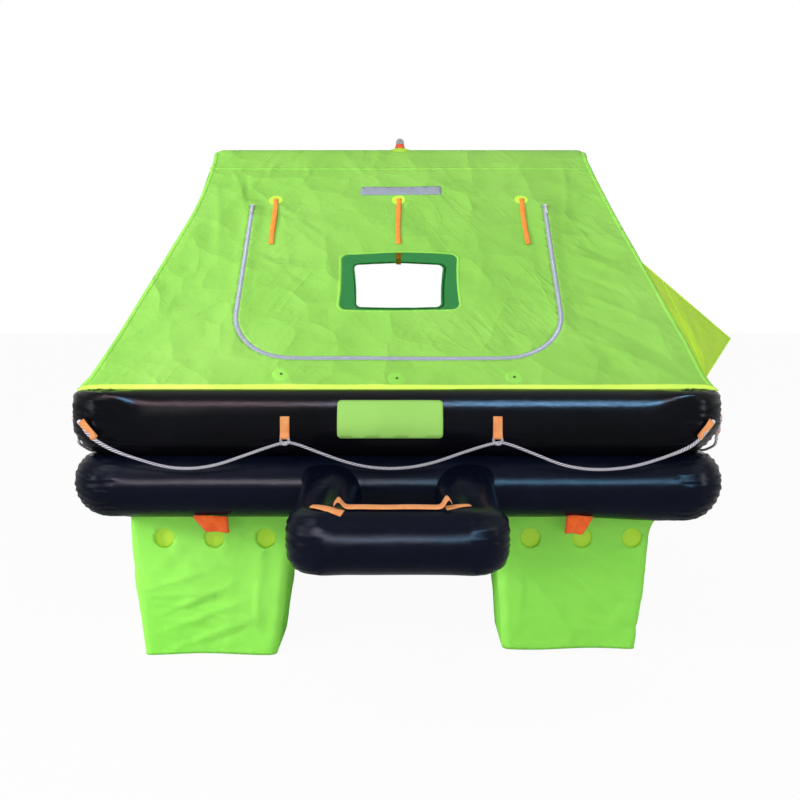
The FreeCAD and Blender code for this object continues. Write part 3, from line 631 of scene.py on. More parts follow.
MATS = {
    "tube": tube_skin("black_coated_fabric", srgb(6, 7, 10), srgb(11, 12, 18), 0.055),
    # Painted reflection: the lower tube and the ramp get a lighter, bluer copy of the black tube cloth,
    # standing in for the bluish light they reflect.
    "tube_low_painted_reflection": tube_skin("black_coated_fabric_painted_blue_reflection", srgb(6, 10, 21), srgb(12, 17, 33), 0.06),
    "canopy": coated_cloth("canopy_cloth_outside", srgb(170, 229, 108), srgb(160, 223, 97),
                           srgb(152, 217, 90), through=srgb(220, 255, 200), share=0.35, crush=1.0),
    # Painted shade: the inside face is a darker, bluer green than the canopy cloth, as the shaded inside
    # looks; the light through the cloth is added on top of it.
    "canopy_in_painted_shade": coated_cloth("canopy_cloth_inside_painted_shade", srgb(82, 172, 116), srgb(72, 160, 106),
                              srgb(62, 146, 96), 0.55, 0.1, srgb(132, 226, 180), 0.85, 0.6),
    "hem": coated_cloth("glued_hem", srgb(208, 242, 104), srgb(198, 238, 92), srgb(188, 231, 84)),
    "hood": coated_cloth("hood_cloth", srgb(222, 255, 88), srgb(212, 250, 75),
                         srgb(200, 242, 68), through=srgb(230, 255, 160), share=0.35, crush=0.8),
    "bag": coated_cloth("bag_cloth", srgb(190, 244, 136), srgb(179, 239, 122),
                        srgb(164, 232, 110), 0.45, 0.2, srgb(228, 255, 205), 0.35, 1.7),
    "bag_in": coated_cloth("bag_cloth_inside", srgb(188, 242, 132), srgb(178, 238, 120),
                           srgb(168, 232, 110), 0.5, 0.1, srgb(228, 255, 205), 0.7),
    # Painted light: the inlet flaps are lighter and yellower than the bag cloth, so that the inlets look lit
    # through the cloth and not shaded.
    "flap": coated_cloth("inlet_flap_painted_light", srgb(220, 252, 104), srgb(210, 248, 90), srgb(196, 242, 80),
                         through=srgb(240, 255, 150), share=0.5),
    "patch": coated_cloth("tie_patch", srgb(196, 232, 80), srgb(184, 228, 74), srgb(172, 224, 72)),
    "sign": coated_cloth("sign_face", srgb(162, 216, 112), srgb(154, 209, 103),
                         srgb(146, 201, 96)),
    "tie": webbing("tie_webbing", srgb(255, 158, 52), srgb(248, 134, 28)),
    "orange": webbing("orange_webbing", srgb(255, 180, 112), srgb(255, 154, 88)),
    "orange_deep": webbing("deep_orange_webbing", srgb(255, 116, 40), srgb(238, 88, 22)),
    "strap_grey": webbing("grey_webbing", srgb(120, 124, 130), srgb(84, 88, 94)),
    "floor": coated_cloth("floor_cloth", srgb(38, 40, 48), srgb(30, 32, 38), srgb(24, 25, 30),
                          0.45, 0.3),
}


def make_simple():
    m = Mat("laid_rope", 0.75, 0.25, sheen=0.2)
    fibre = m.noise(500.0, 3.0, 0.6, m.mapped((1, 1, 0.3)))
    groove_shade_depth = m.node("ShaderNodeSeparateXYZ")
    m.link(m.mapped(uv=True), groove_shade_depth.inputs[0])
    yarn = m.ramp(fibre, [(0.3, srgb(204, 201, 214)), (0.65, srgb(240, 237, 247))])
    # Painted shade: strand surface that lies deep, towards the rope's middle, is painted dark, as the grooves
    # between the strands are shaded.
    m.colour(m.mix(m.span(groove_shade_depth.outputs["Y"], 0.74, 0.97, 0.0, 1.0), srgb(70, 66, 86), yarn))
    m.bump((fibre, 0.0003))
    MATS["rope"] = m.mat

    m = Mat("zip_tape", 0.65, 0.3)
    vector = m.mapped(uv=True)
    rib = m.wave(900.0, vector, "X")
    m.colour(m.mix(rib, srgb(132, 142, 158), srgb(154, 163, 178)))
    m.bump((rib, 0.0001), (m.noise(60.0, 2.0), 0.0004))
    MATS["zip"] = m.mat

    m = Mat("zip_coil", 0.35, 0.5)
    m.mottle(30.0, 2.0, srgb(196, 200, 210), srgb(222, 225, 232))
    m.bump((m.noise(900.0, 1.0), 0.00005))
    MATS["coil"] = m.mat

    m = Mat("reflective_tape", 0.4, 0.3)
    cell = m.node("ShaderNodeTexVoronoi", feature="DISTANCE_TO_EDGE")
    cell.inputs["Scale"].default_value = 230.0
    m.link(m.mapped(), cell.inputs["Vector"])
    edge = m.span(cell.outputs["Distance"], 0.0, 0.12, 0.0, 1.0)
    m.colour(m.mix(edge, srgb(152, 161, 174), srgb(128, 137, 152)))
    m.bump((edge, 0.0001), (m.noise(14.0, 2.0), 0.001))
    MATS["reflective"] = m.mat

    m = Mat("polished_slider", 0.25, 0.5, metal=1.0)
    m.mottle(120.0, 3.0, srgb(196, 198, 204), srgb(226, 228, 232))
    m.roughness(m.span(m.noise(300.0, 2.0), 0.3, 0.7, 0.18, 0.34))
    m.bump((m.noise(400.0, 2.0), 0.00003))
    MATS["slider"] = m.mat

    m = Mat("moulded_orange", 0.4, 0.45)
    m.mottle(40.0, 3.0, srgb(214, 64, 22), srgb(236, 88, 36))
    m.bump((m.noise(350.0, 2.0), 0.0001))
    MATS["lamp_orange"] = m.mat

    m = Mat("lamp_lens", 0.18, 0.5, coat=0.5)
    m.mottle(30.0, 2.0, srgb(128, 126, 136), srgb(160, 158, 168))
    m.bump((m.wave(300.0, m.mapped(), "Z"), 0.0002))
    MATS["lamp_grey"] = m.mat

    m = Mat("moulded_valve", 0.45, 0.4)
    m.mottle(50.0, 3.0, srgb(28, 29, 31), srgb(40, 41, 44))
    m.bump((m.noise(500.0, 2.0), 0.00006))
    MATS["valve"] = m.mat

    m = Mat("cylinder_enamel", 0.3, 0.5, coat=0.3)
    worn = m.span(m.noise(14.0, 5.0, 0.7), 0.62, 0.72, 0.0, 0.5)
    m.colour(m.mix(worn, srgb(126, 132, 138), srgb(158, 160, 162)))
    m.roughness(m.span(m.noise(30.0, 3.0), 0.3, 0.7, 0.22, 0.4))
    m.bump((m.noise(180.0, 2.0), 0.0001))
    MATS["cylinder"] = m.mat

    m = Mat("machined_brass", 0.3, 0.5, metal=1.0)
    m.mottle(60.0, 4.0, srgb(176, 140, 78), srgb(212, 178, 110))
    m.bump((m.wave(700.0, m.mapped(), "Z"), 0.00003))
    MATS["brass"] = m.mat

    m = Mat("cast_weight", 0.7, 0.3, metal=0.6)
    m.mottle(80.0, 4.0, srgb(60, 58, 56), srgb(92, 90, 88))
    m.bump((m.noise(200.0, 4.0), 0.0004))
    MATS["ballast"] = m.mat

    m = Mat("mat_foil", 0.34, 0.6, metal=0.55)
    quilt_a = m.wave(9.0, m.mapped((1, 1, 0), (0, 0, math.radians(45))), "X")
    quilt_b = m.wave(9.0, m.mapped((1, 1, 0), (0, 0, math.radians(45))), "Y")
    m.mottle(20.0, 4.0, srgb(168, 170, 176), srgb(206, 208, 212))
    m.bump((m.math("MULTIPLY", quilt_a, quilt_b), 0.006), (m.noise(70.0, 4.0), 0.001))
    MATS["mat"] = m.mat

    m = Mat("snap_metal", 0.5, 0.4)
    m.mottle(200.0, 2.0, srgb(40, 70, 34), srgb(70, 104, 52))
    m.bump((m.noise(500.0, 2.0), 0.00005))
    MATS["stud"] = m.mat


make_simple()

# ---- camera ----
cam = bpy.data.cameras.new("camera")
cam.lens = 42.3
cam.sensor_width = 36.0
cam.sensor_fit = "HORIZONTAL"
camera = bpy.data.objects.new("camera", cam)
camera.location = (0.0052, -3.5936, 0.6276)
camera.rotation_euler = (math.radians(90 - 5.931), 0, 0)
bpy.context.scene.collection.objects.link(camera)
bpy.context.scene.camera = camera


# ---- lifelines ----

def route_line(name, points, step):
    """Points of the NURBS line that the route's points control, step apart."""
    curve = bpy.data.curves.new(name, "CURVE")
    curve.dimensions = "3D"
    curve.resolution_u = 40
    spline = curve.splines.new("NURBS")
    spline.points.add(len(points) - 1)
    for p, co in zip(spline.points, points):
        p.co = (*co, 1)
    spline.order_u = 3
    spline.use_endpoint_u = True
    holder = bpy.data.objects.new(name, curve)
    bpy.context.scene.collection.objects.link(holder)
    bpy.context.view_layer.update()
    mesh = bpy.data.meshes.new_from_object(holder)
    line = np.array([v.co[:] for v in mesh.vertices])
    bpy.data.objects.remove(holder)
    bpy.data.curves.remove(curve)
    bpy.data.meshes.remove(mesh)
    far = run_of(line)
    at = np.linspace(0, far[-1], max(2, int(far[-1] / step)))
    return np.column_stack([np.interp(at, far, line[:, k]) for k in range(3)])


def laid(line, radius, lay=0.032, sides=7, start=0.0):
    """Three strands twisted round a line; the second UV is the share of the rope's radius, by which the
    rope's material paints shade into the grooves.
    """
    t, a, b = frames_along(line)
    r = np.broadcast_to(radius, len(line))
    far = run_of(line)
    parts = []
    for k in range(3):
        w = 2 * math.pi * (k / 3 + (far + start) / lay)
        centre = line + (0.54 * r)[:, None] * (a * np.cos(w)[:, None] + b * np.sin(w)[:, None])
        v, f, u = tube_mesh(centre, 0.45 * r, sides)
        out = np.linalg.norm(v - np.tile(line, (sides, 1)), axis=1) / np.tile(r, sides)
        parts.append((v, f, np.column_stack([u[:, 0], out])))
    return joined(parts)


def peaked(route):
    """The route with the rope hanging from a point at each of its two middle tabs."""
    out = []
    for s, z in route:
        if z == 242:
            mid = min((-321, 282, -300, 300), key=lambda m: abs(m - s))
            s, z = mid + (s - mid) * 0.30, 233
        out.append((s, z))
    return out


def drawn_in(v):
    """The upper tube's front right corner and what is fixed to it, drawn in a little."""
    v = np.array(v, float)
    x, y, z = v[..., 0], v[..., 1], v[..., 2]
    more = 1 + 3 * np.clip((UPPER_Z - z) / TUBE_R, 0, 0.8)
    v[..., 0] = x - RIGHT_PULL * more * ease((x - 0.82) / 0.12) * np.exp(-((y + 0.93) / 0.09) ** 2)
    return v


RIGHT_PULL = 0.0145
ROPES = (("front", 0, FRONT_ROUTE), ("right", 90, SIDE_ROUTE),
         ("rear", 180, SIDE_ROUTE), ("left", 270, SIDE_ROUTE))
splice_parts = []
for side_name, degrees, route in ROPES:
    route = peaked(route)
    points = turn([(s / 1000, ROPE_Y, z / 1000) for s, z in route], degrees)
    line = route_line("route_" + side_name, [tuple(p) for p in points], 0.0028)
    v, f, u = laid(line, 0.0043)
    rope = new_mesh("rope_" + side_name, v, f, MATS["rope"], u)
    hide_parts("lifeline_" + side_name)
    [tuple(p) for p in line]
    # The end from the rope through the corner tab and up behind it
    reach = 0.0 if side_name == "front" else -0.046
    for sign, first, second in ((-1, route[0], route[1]), (1, route[-1], route[-2])):
        a = np.array((first[0], first[1])) / 1000
        back = a - np.array((second[0], second[1])) / 1000
        back /= np.linalg.norm(back)
        pts = [(a[0], 0, a[1]), (a[0] + back[0] * 0.03, 0, a[1] + back[1] * 0.03),
               (sign * (0.840 + reach), 0.000, 0.228), (sign * (0.866 + reach), 0.001, 0.246),
               (sign * (0.886 + reach), 0.004, 0.264), (sign * (0.902 + reach), 0.010, 0.288)]
        end = route_line("end", [(x, ROPE_Y + d, z) for x, d, z in pts], 0.0026)
        thick = 0.0046 + 0.0010 * np.sin(np.linspace(0, math.pi, len(end)))
        way = end[-1] - end[-2]
        way /= np.linalg.norm(way)
        ball = tube_mesh(np.array([end[-1] - 0.006 * way + way * t for t in np.linspace(0, 0.014, 9)]),
                         0.0066 * np.sin(np.linspace(0.5, 2.5, 9)) ** 0.5, 16)
        ball = (ball[0], ball[1], np.ones((len(ball[0]), 2)))
        for part in (laid(end, thick, 0.030), ball):
            splice_parts.append((turn(part[0], degrees), part[1], part[2]))
    # Eyes through the two middle tabs that hold the rope up
    for mid in ((-0.321, 0.282) if side_name == "front" else (-0.300, 0.300)):
        w = np.linspace(-0.8, 2 * math.pi - 0.7, 44)
        eye = np.column_stack([mid + 0.0118 * np.sin(w), ROPE_Y - 0.004 * np.cos(w / 2),
                               0.2405 - 0.0128 * np.cos(w)])
        v, f, u = laid(eye, 0.0038, 0.024)
        splice_parts.append((turn(v, degrees), f, u))
v, f, u = joined(splice_parts)
splices = new_mesh("rope_ends", drawn_in(v), f, MATS["rope"], u)
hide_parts("lifeline_splices")


# ---- buoyancy tubes ----

CORNER_R = 0.024


def ring_tube(name, centre_z, top, bottom, square, droop, seed, skin):
    """The square ring of tube, with slack, puckered cloth at its mitred corners."""
    around, along, bend = 100, 84, 8
    t = np.linspace(-1, 1, along)
    us = np.concatenate([0.5 * t + 0.5 * np.sin(t * math.pi / 2), np.ones(bend)])
    ws = np.concatenate([np.zeros(along), np.linspace(0, 1, bend + 2)[1:-1] * math.pi / 2])
    at_bend = np.arange(len(us)) >= along
    a = (2 * math.pi * np.arange(around) / around)[:, None]
    rows = []
    for side in range(4):
        h = HALF + TUBE_R * np.cos(a)
        near = np.where(at_bend[None, :], 0.0, (1 - np.abs(us))[None, :] * h)
        s = (us + ws)[None, :] + 2.6 * side + 0 * a
        g = a * TUBE_R + 0 * s
        tip = np.exp(-(near / 0.055) ** 2)
        edge = np.exp(-(near / 0.022) ** 2)
        wide = np.exp(-(near / 0.16) ** 2)
        power = 2 + (square - 2) * tip
        c, sn = np.abs(np.cos(a)), np.abs(np.sin(a))
        squared = (c ** power + sn ** power) ** (-1 / power)
        outer_top = (np.cos(a) > 0) & (np.sin(a) > 0)
        r = TUBE_R * np.where(outer_top, squared, 1.0)
        r = r + 0.0021 * edge * np.sin(g / 0.0034 + 3 * soft(g, s, 0.03, seed))
        r = r + 0.0007 * tip * soft(g, s * 0.9, 0.018, seed + 2)
        r = r + 0.0005 * (wide - tip * 0.5) * np.sin(near / 0.0028 + 2 * soft(g, s, 0.05, seed + 5))
        r = r + 0.0008 * soft(s * HALF, g, 0.09, seed + 7) * wide
        r = r + 0.0006 * soft(s * HALF, g, 0.22, seed + 9)
        off, z = r * np.cos(a), r * np.sin(a)
        h = HALF + off
        rc = np.maximum(CORNER_R + 0.02 * np.clip(-np.sin(a), 0, 1) * (square > 3) + off, 0.006)
        x = np.where(at_bend, h - rc + rc * np.sin(ws), us * (h - rc))
        y = np.where(at_bend, -(h - rc) - rc * np.cos(ws), -h)
        if side == 0:
            sag = np.exp(-((x - 0.80) / 0.22) ** 2) * np.clip(-np.sin(a), 0, 1)
            z = z - droop * sag
        if top is not None:
            z = np.minimum(z, top)
        if bottom is not None:
            z = np.maximum(z, -bottom - droop * (side == 0) * np.exp(-((x - 0.80) / 0.22) ** 2))
        cs, sd = ((1, 0), (0, 1), (-1, 0), (0, -1))[side]
        place = np.stack([cs * x - sd * y, sd * x + cs * y, centre_z + z], axis=2)
        place = drawn_in(place) if square > 3 else place
        rows.append(np.concatenate([place, np.stack([s, g], axis=2)], axis=2))
    grid = np.concatenate(rows, axis=1)
    v, f, u = loft(list(grid[:, :, :3]), True, list(grid[:, :, 3:]))
    piece = new_mesh(name, v, [q[::-1] for q in f], MATS[skin], u)
    return piece


lower = ring_tube("tube_skin_lower", LOWER_Z, BOND_H - 0.0002, FLOOR_H - 0.0002, 2.3, 0.014, 11,
                  "tube_low_painted_reflection")
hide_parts("lower_tube")
upper = ring_tube("tube_skin_upper", UPPER_Z, None, BOND_H - 0.0002, 7.0, 0.0, 31, "tube")
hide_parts("upper_tube")


# ---- canopy ----

# How far the hips are pulled in: share of the height, left, right
DENTS = np.array([(0.0, 0.0, 0.008), (0.04, 0.012, 0.017), (0.17, 0.017, 0.004), (0.34, 0.019, 0.0),
                  (0.52, 0.028, 0.0), (0.69, 0.041, 0.007), (0.77, 0.042, 0.010),
                  (0.86, 0.038, 0.014), (0.94, 0.032, 0.017), (1.0, 0.019, 0.007)])


def hip_x(z, x=1.0):
    """Distance of a hip from the middle; x tells which side."""
    t = np.clip((z - BASE_Z) / (RIDGE_Z - BASE_Z), 0, 1)
    dent = np.where(np.asarray(x) < 0, np.interp(t, DENTS[:, 0], DENTS[:, 1]),
                    np.interp(t, DENTS[:, 0], DENTS[:, 2]))
    return lerp(HEM_HALF, RIDGE_HALF, t) - 4 * HIP_SAG * t * (1 - t) - dent


def profile(v):
    """Height, depth and outward normal at a distance v up from the hem."""
    v = np.asarray(v, float)
    bend = np.clip((v - FLAT) / RIDGE_R, 0, SLOPE * 1.2)
    flat = np.clip(v, 0, FLAT)
    lean = SLOPE - bend
    y = -HALF + flat * math.cos(SLOPE) + RIDGE_R * (math.sin(SLOPE) - np.sin(lean))
    z = BASE_Z + flat * math.sin(SLOPE) + RIDGE_R * (np.cos(lean) - math.cos(SLOPE)) + np.minimum(v, 0)
    return y, z, -np.sin(lean), np.cos(lean)


def rounded_end(x, z):
    """Rounds the sharp corner between the ridge and a gable."""
    r = RIDGE_END_R
    cx, cz = hip_x(RIDGE_Z, x) - r, RIDGE_Z - r
    u, w = (np.abs(x) - cx) / r, (z - cz) / r
    far = np.hypot(u, w)
    m = np.maximum(u, w)
    corner = (u > 0) & (w > 0) & (far > 1e-6)
    k = np.where(corner, m / np.maximum(far, 1e-6), 1.0)
    nx = np.where(corner, np.sign(x) * (cx + u * k * r), x)
    nz = np.where(corner, cz + w * k * r, z)
    return nx, nz


FRONT_FOLDS = [
    # from the zip's top ends and the ridge's corners
    (-0.62, 1.10, -0.50, 0.66, 0.016, 0.0035), (-0.56, 1.08, -0.53, 0.72, 0.012, -0.0025),
    (-0.66, 1.00, -0.60, 0.50, 0.020, 0.0030), (-0.48, 0.90, -0.22, 0.62, 0.014, 0.0024),
    (-0.44, 0.82, -0.24, 0.70, 0.010, -0.0018), (-0.50, 0.62, -0.30, 0.42, 0.016, 0.0022),
    (-0.46, 0.56, -0.28, 0.44, 0.009, -0.0014), (-0.52, 0.42, -0.72, 0.30, 0.018, 0.0028),
    (-0.55, 0.36, -0.80, 0.20, 0.014, -0.0022), (-0.60, 0.54, -0.78, 0.48, 0.014, 0.0018),
    (-0.40, 0.10, -0.10, 0.04, 0.016, 0.0012), (0.12, 0.12, 0.30, 0.03, 0.016, 0.0012),
    (0.28, 0.62, 0.24, 0.34, 0.022, 0.0020), (-0.24, 0.62, -0.22, 0.34, 0.018, 0.0018),
    (0.34, 1.04, 0.05, 0.88, 0.016, 0.0020), (0.50, 1.08, 0.20, 0.80, 0.014, 0.0018),
    (0.60, 1.08, 0.56, 0.70, 0.016, 0.0026), (0.56, 0.80, 0.70, 0.66, 0.014, 0.0026),
    (0.56, 0.66, 0.74, 0.54, 0.010, -0.0020), (0.57, 0.60, 0.76, 0.47, 0.012, 0.0028),
    (0.56, 0.50, 0.78, 0.36, 0.010, -0.0022), (0.55, 0.42, 0.82, 0.24, 0.013, 0.0028),
    (0.52, 0.34, 0.84, 0.10, 0.012, -0.0022), (0.46, 0.26, 0.86, 0.02, 0.016, 0.0030),
    (0.40, 0.14, 0.70, 0.02, 0.012, 0.0016), (-0.46, 0.20, -0.84, 0.03, 0.016, 0.0024),
]


def pull(x, v):
    """Direction of the cloth's tension lines."""
    if abs(x) > 0.5:
        return -0.65 if x > 0 else math.pi + 0.65
    return 0.6 * math.sin(7 * x + 5 * v)


FRONT_FOLDS = [(a, b, c, d, e * 0.9, f * 2.0) for a, b, c, d, e, f in FRONT_FOLDS]
FRONT_FOLDS += scatter(150, (-0.85, 0.85, 0.02, 1.05), pull, 5, 0.0016)
REAR_FOLDS = [(-a, b, -c, d, e, f) for a, b, c, d, e, f in FRONT_FOLDS[:24]]
REAR_FOLDS += scatter(150, (-0.85, 0.85, 0.02, 1.05), pull, 6, 0.0016)


def swell(x, v, front):
    """How far the cloth stands off its drawn surface."""
    seed = 3 if front else 41
    _, z, _, _ = profile(v)
    hip = hip_x(z, x) - np.abs(x)
    w = creases(x, v, FRONT_FOLDS if front else REAR_FOLDS)
    w = w + 0.0022 * soft(x, v, 0.16, seed) + 0.0010 * soft(x + 0.3 * v, v, 0.06, seed + 1)
    # Gathers along the hips and the ridge seam
    gather = np.sin(v / 0.0065 + 4 * soft(x, v, 0.08, seed + 2))
    w = w + 0.0009 * gather * np.exp(-(hip / 0.035) ** 2)
    gather = np.sin(x / 0.0085 + 5 * soft(x, v, 0.10, seed + 4))
    w = w + 0.0007 * gather * np.exp(-((v - RIDGE_SEAM) / 0.03) ** 2)
    gather = np.sin(x / 0.0075 + 5 * soft(x, v, 0.10, seed + 6))
    w = w + 0.0008 * gather * np.exp(-(v / 0.03) ** 2)
    # Slack between the supports
    w = w - 0.007 * np.sin(np.pi * np.clip(v / FLAT, 0, 1)) * ease(hip / 0.15)
    # The zips stay straight, and the edges stay where they are sewn
    near_zip = np.minimum(np.abs(np.abs(x) - ZIP_X), 0.05) / 0.05
    held = lerp(0.25, 1.0, ease(near_zip)) if np.ndim(x) else 1.0
    held = np.where((v > ZIP_LOW) & (v < ZIP_TOP + 0.03), held, 1.0)
    ends = ease(v / 0.03) * ease(hip / 0.012 + 0.25) * ease((FLAT + 0.05 - v) / 0.10)
    return w * held * ends


def canopy_at(x, s, w=0.0):
    """The cloth's surface: s runs from the front hem over the ridge to the rear."""
    x, s = np.asarray(x, float), np.asarray(s, float)
    v = REACH - np.abs(s)
    y, z, ny, nz = profile(v)
    off = np.where(s <= 0, swell(x, v, True), swell(x, v, False)) + w
    flip = np.where(s <= 0, 1.0, -1.0)
    px, pz = rounded_end(x, z + nz * off)
    return np.column_stack([px, flip * (y + ny * off), pz])


def front_at(x, v, w=0.0):
    return canopy_at(x, np.asarray(v, float) - REACH, w)


def rear_at(x, v, w=0.0):
    return canopy_at(-np.asarray(x, float), REACH - np.asarray(v, float), w)


def zip_line(grow=0.0, step=0.006, top=ZIP_TOP):
    x, low, r = ZIP_X + grow, ZIP_LOW - grow, ZIP_R + grow
    pts = [(-x, top)] + [(-x + r - r * math.cos(a), low + r - r * math.sin(a))
                         for a in np.linspace(0, math.pi / 2, 16)]
    pts += [(x - r + r * math.sin(a), low + r - r * math.cos(a))
            for a in np.linspace(0, math.pi / 2, 16)] + [(x, top)]
    return dense(pts, step, False)


def tube_under(x):
    """Height of the tube under the hem, below the hem's level."""
    out = np.clip(np.abs(x) - HALF, 0, TUBE_R * 0.95)
    power = 2 + 5 * np.exp(-(out / 0.055) ** 2)
    return TUBE_R * ((1 - (out / TUBE_R) ** power) ** (1 / power) - 1)


def canopy_outline(step):
    vs = np.linspace(0, REACH, 60)
    _, zs, _, _ = profile(vs)
    right, left = hip_x(zs, 1), hip_x(zs, -1)
    hem = np.linspace(-HEM_HALF, HEM_HALF, 120)
    pts = [(x, -REACH + float(tube_under(x))) for x in hem]
    pts += [(x, v - REACH) for x, v in zip(right, vs)][1:]
    pts += [(x, REACH - v) for x, v in zip(right[::-1], vs[::-1])][1:-1]
    pts += [(x, REACH - float(tube_under(x))) for x in hem[::-1]]
    pts += [(-x, REACH - v) for x, v in zip(left, vs)][1:]
    pts += [(-x, v - REACH) for x, v in zip(left[::-1], vs[::-1])][1:-1]
    return dense(pts, step)


def window_outline(rear=False):
    pts = dense(round_box(-0.189, 0.196, 0.334, 0.591, 0.026), 0.008)
    x, v = pts[:, 0], pts[:, 1]
    v = v + np.where(v > 0.5, 0.009 * np.cos(x / 0.13) ** 2, -0.003 * np.cos(x / 0.10))
    x = x - np.where(x > 0, 0.007, -0.005) * np.cos((v - 0.46) / 0.09)
    if rear:
        x = -x
    return np.column_stack([x, v])


STEP = 0.0096
holes = []
for rear in (False, True):
    flip = (lambda p: np.column_stack([p[:, 0], REACH - p[:, 1]])) if rear else \
        (lambda p: np.column_stack([p[:, 0], p[:, 1] - REACH]))
    slot_edge = np.concatenate([zip_line(0.005, STEP), zip_line(-0.005, STEP)[::-1]])
    holes += [flip(slot_edge), flip(window_outline(rear))]
flat, tris = fill(canopy_outline(STEP), holes, STEP)
cloth = new_mesh("canopy_cloth", canopy_at(flat[:, 0], flat[:, 1]), tris,
                 [MATS["canopy"], MATS["canopy_in_painted_shade"]], flat)
solidify(cloth, CLOTH, -1.0, 1)
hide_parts("canopy_front", "canopy_rear", "canopy_ridge", "door_front", "door_rear")
flat_area(flat, tris)

# Seam strips: hips, ridge seams and the binding of the windows
seams = []
for at in (front_at, rear_at):
    vs = np.linspace(0.004, FLAT + 0.05, 150)
    _, zs, _, _ = profile(vs)
    for sign in (-1, 1):
        side = sign if at is front_at else -sign
        hip = np.column_stack([sign * (hip_x(zs, side) - 0.007), vs])
        seams.append(ribbon(hip, 0.012, 0.0004, at, 0.0002, 3))
    xs = np.linspace(-0.685, 0.700, 200)
    seams.append(ribbon(np.column_stack([xs if at is front_at else -xs, np.full(200, RIDGE_SEAM)]),
                        0.010, 0.0003, at, 0.00012, 3))
    rim = window_outline(at is rear_at)
    mid = rim.mean(axis=0)
    grown = mid + (rim - mid) * (1 + 0.0055 / np.maximum(np.abs(rim - mid).max(axis=1), 0.05))[:, None]
    seams.append(ribbon(grown, 0.008, 0.0004, at, 0.0002, 3, True))
v, f, u = joined(seams)
seam = new_mesh("canopy_seams", v, f, MATS["canopy"], u)

# The glued hem along the tubes
hems = []
for at in (front_at, rear_at):
    xs = np.linspace(-0.93, 0.93, 260)
    low = 0.0065 + tube_under(xs)
    hems.append(ribbon(np.column_stack([xs, low + 0.0020]), 0.019 + 0.004 * soft(xs, 0 * xs, 0.25, 8),
                       0.0014, at, 0.0012, 3))
v, f, u = joined(hems)
hem = new_mesh("canopy_hem", v, f, MATS["hem"], u)

# Zips: tape in the slot, and the coil's turns on it
for end, at in (("front", front_at), ("rear", rear_at)):
    path = zip_line(0.0, 0.006)
    tape = ribbon(path, 0.0150, 0.0008, at, -0.0001, 6)
    coil_path = zip_line(0.0, 0.0032, ZIP_TOP - 0.004)
    along = np.gradient(coil_path, axis=0)
    along /= np.linalg.norm(along, axis=1)[:, None]
    side = np.column_stack([along[:, 1], -along[:, 0]])
    count = len(coil_path)
    hand = np.where(np.arange(count) % 2, 1, -1)
    ring = np.array([(-0.0006, 0.0002), (-0.0006, 0.0013), (0.0, 0.0019), (0.0006, 0.0013),
                     (0.0006, 0.0002)])
    wire = [coil_path[:, None] + along[:, None] * ring[None, :, :1] + (side * (hand * off)[:, None])[:, None]
            for off in (0.0040, -0.0016)]
    wire = np.stack(wire, axis=1)
    cv = at(wire[..., 0].ravel(), wire[..., 1].ravel(), np.broadcast_to(ring[:, 1], wire.shape[:3]).ravel())
    cf = []
    for n in range(0, 10 * count, 10):
        cf += [(n + i, n + (i + 1) % 5, n + 5 + (i + 1) % 5, n + 5 + i) for i in range(5)]
        cf += [tuple(n + i for i in range(5))[::-1], tuple(n + 5 + i for i in range(5))]
    piece = new_pair("zip_" + end + "_tape", [tape], [(cv, cf, np.zeros((len(cv), 2)))],
                     [MATS["zip"], MATS["coil"]])
    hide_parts("zip_" + end)

# Roll-up ties: the outer half on its patch, the inner half hanging free
for end, at, sign in (("front", front_at, -1), ("rear", rear_at, 1)):
    parts, patches = [], []
    for k, x in enumerate((-0.431, 0.0, 0.431)):
        lean = (0.004, -0.001, 0.003)[k]
        vs = np.linspace(0.878, 0.640, 50)
        t = (0.878 - vs) / 0.238
        path = np.column_stack([x + lean * t + 0.0015 * np.sin(6 * t + k), vs])
        lift = 0.0018 + 0.0035 * ease(t * 2) * (0.6 + 0.4 * np.sin(5 * t + k))
        parts.append(ribbon(path, 0.0170, 0.0016, at, lift, 4))
        hang_y = sign * (HALF - 0.875 * math.cos(SLOPE) - 0.004)
        zs = np.linspace(0, 0.206, 40)
        top = BASE_Z + 0.868 * math.sin(SLOPE)
        place = lambda a, b, w: np.column_stack([a, hang_y - sign * (0.003 * np.sin(b / 0.05)) + w,
                                                 top - b])
        inner = np.column_stack([(-sign) * x + 0.002 * np.sin(zs / 0.06), zs])
        parts.append(ribbon(inner, 0.0195, 0.0016, place, 0.0, 4))
        fv, ff = fill(np.array(circle(x, 0.872, 0.024)), [], 0.006)
        patches.append((at(fv[:, 0], fv[:, 1], 0.0008), ff, fv))
    piece = new_pair("ties_" + end, parts, patches, [MATS["tie"], MATS["patch"]])
    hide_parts("door_ties_" + end)
    box = round_box(-0.134, 0.150, 0.899, 0.944, 0.004)
    fv, ff = fill(dense(box, 0.008), [], 0.010)
    tape = new_mesh("reflective_" + end, at(fv[:, 0], fv[:, 1], 0.0012), ff, MATS["reflective"], fv)
    solidify(tape, 0.0007)
    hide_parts("reflective_tape_" + end)

# Snap discs on the lower front panel
DISC_LEVELS = ((1.0, 0.0), (0.93, 1.0), (0.6, 1.15), (0.25, 1.2))
parts, studs = [], []
for x, vv in ((-0.347, 0.058), (-0.004, 0.044), (0.343, 0.047)):
    for r0, lift, out in ((0.026, 0.0005, parts), (0.0045, 0.0019, studs)):
        rings, n = [], 24
        for k, g in DISC_LEVELS:
            w = np.linspace(0, 2 * math.pi, n + 1)[:-1]
            rings.append(front_at(x + r0 * k * np.cos(w), vv + r0 * k * np.sin(w), g * lift))
        last = (len(DISC_LEVELS) - 1) * n
        faces = quads(len(DISC_LEVELS), n) + [list(range(last, last + n))]
        out.append((np.concatenate(rings), faces, np.zeros((last + n, 2))))
discs = new_pair("snap_patches", parts, studs, [MATS["canopy"], MATS["stud"]])
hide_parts("snap_discs")


# ---- gables ----

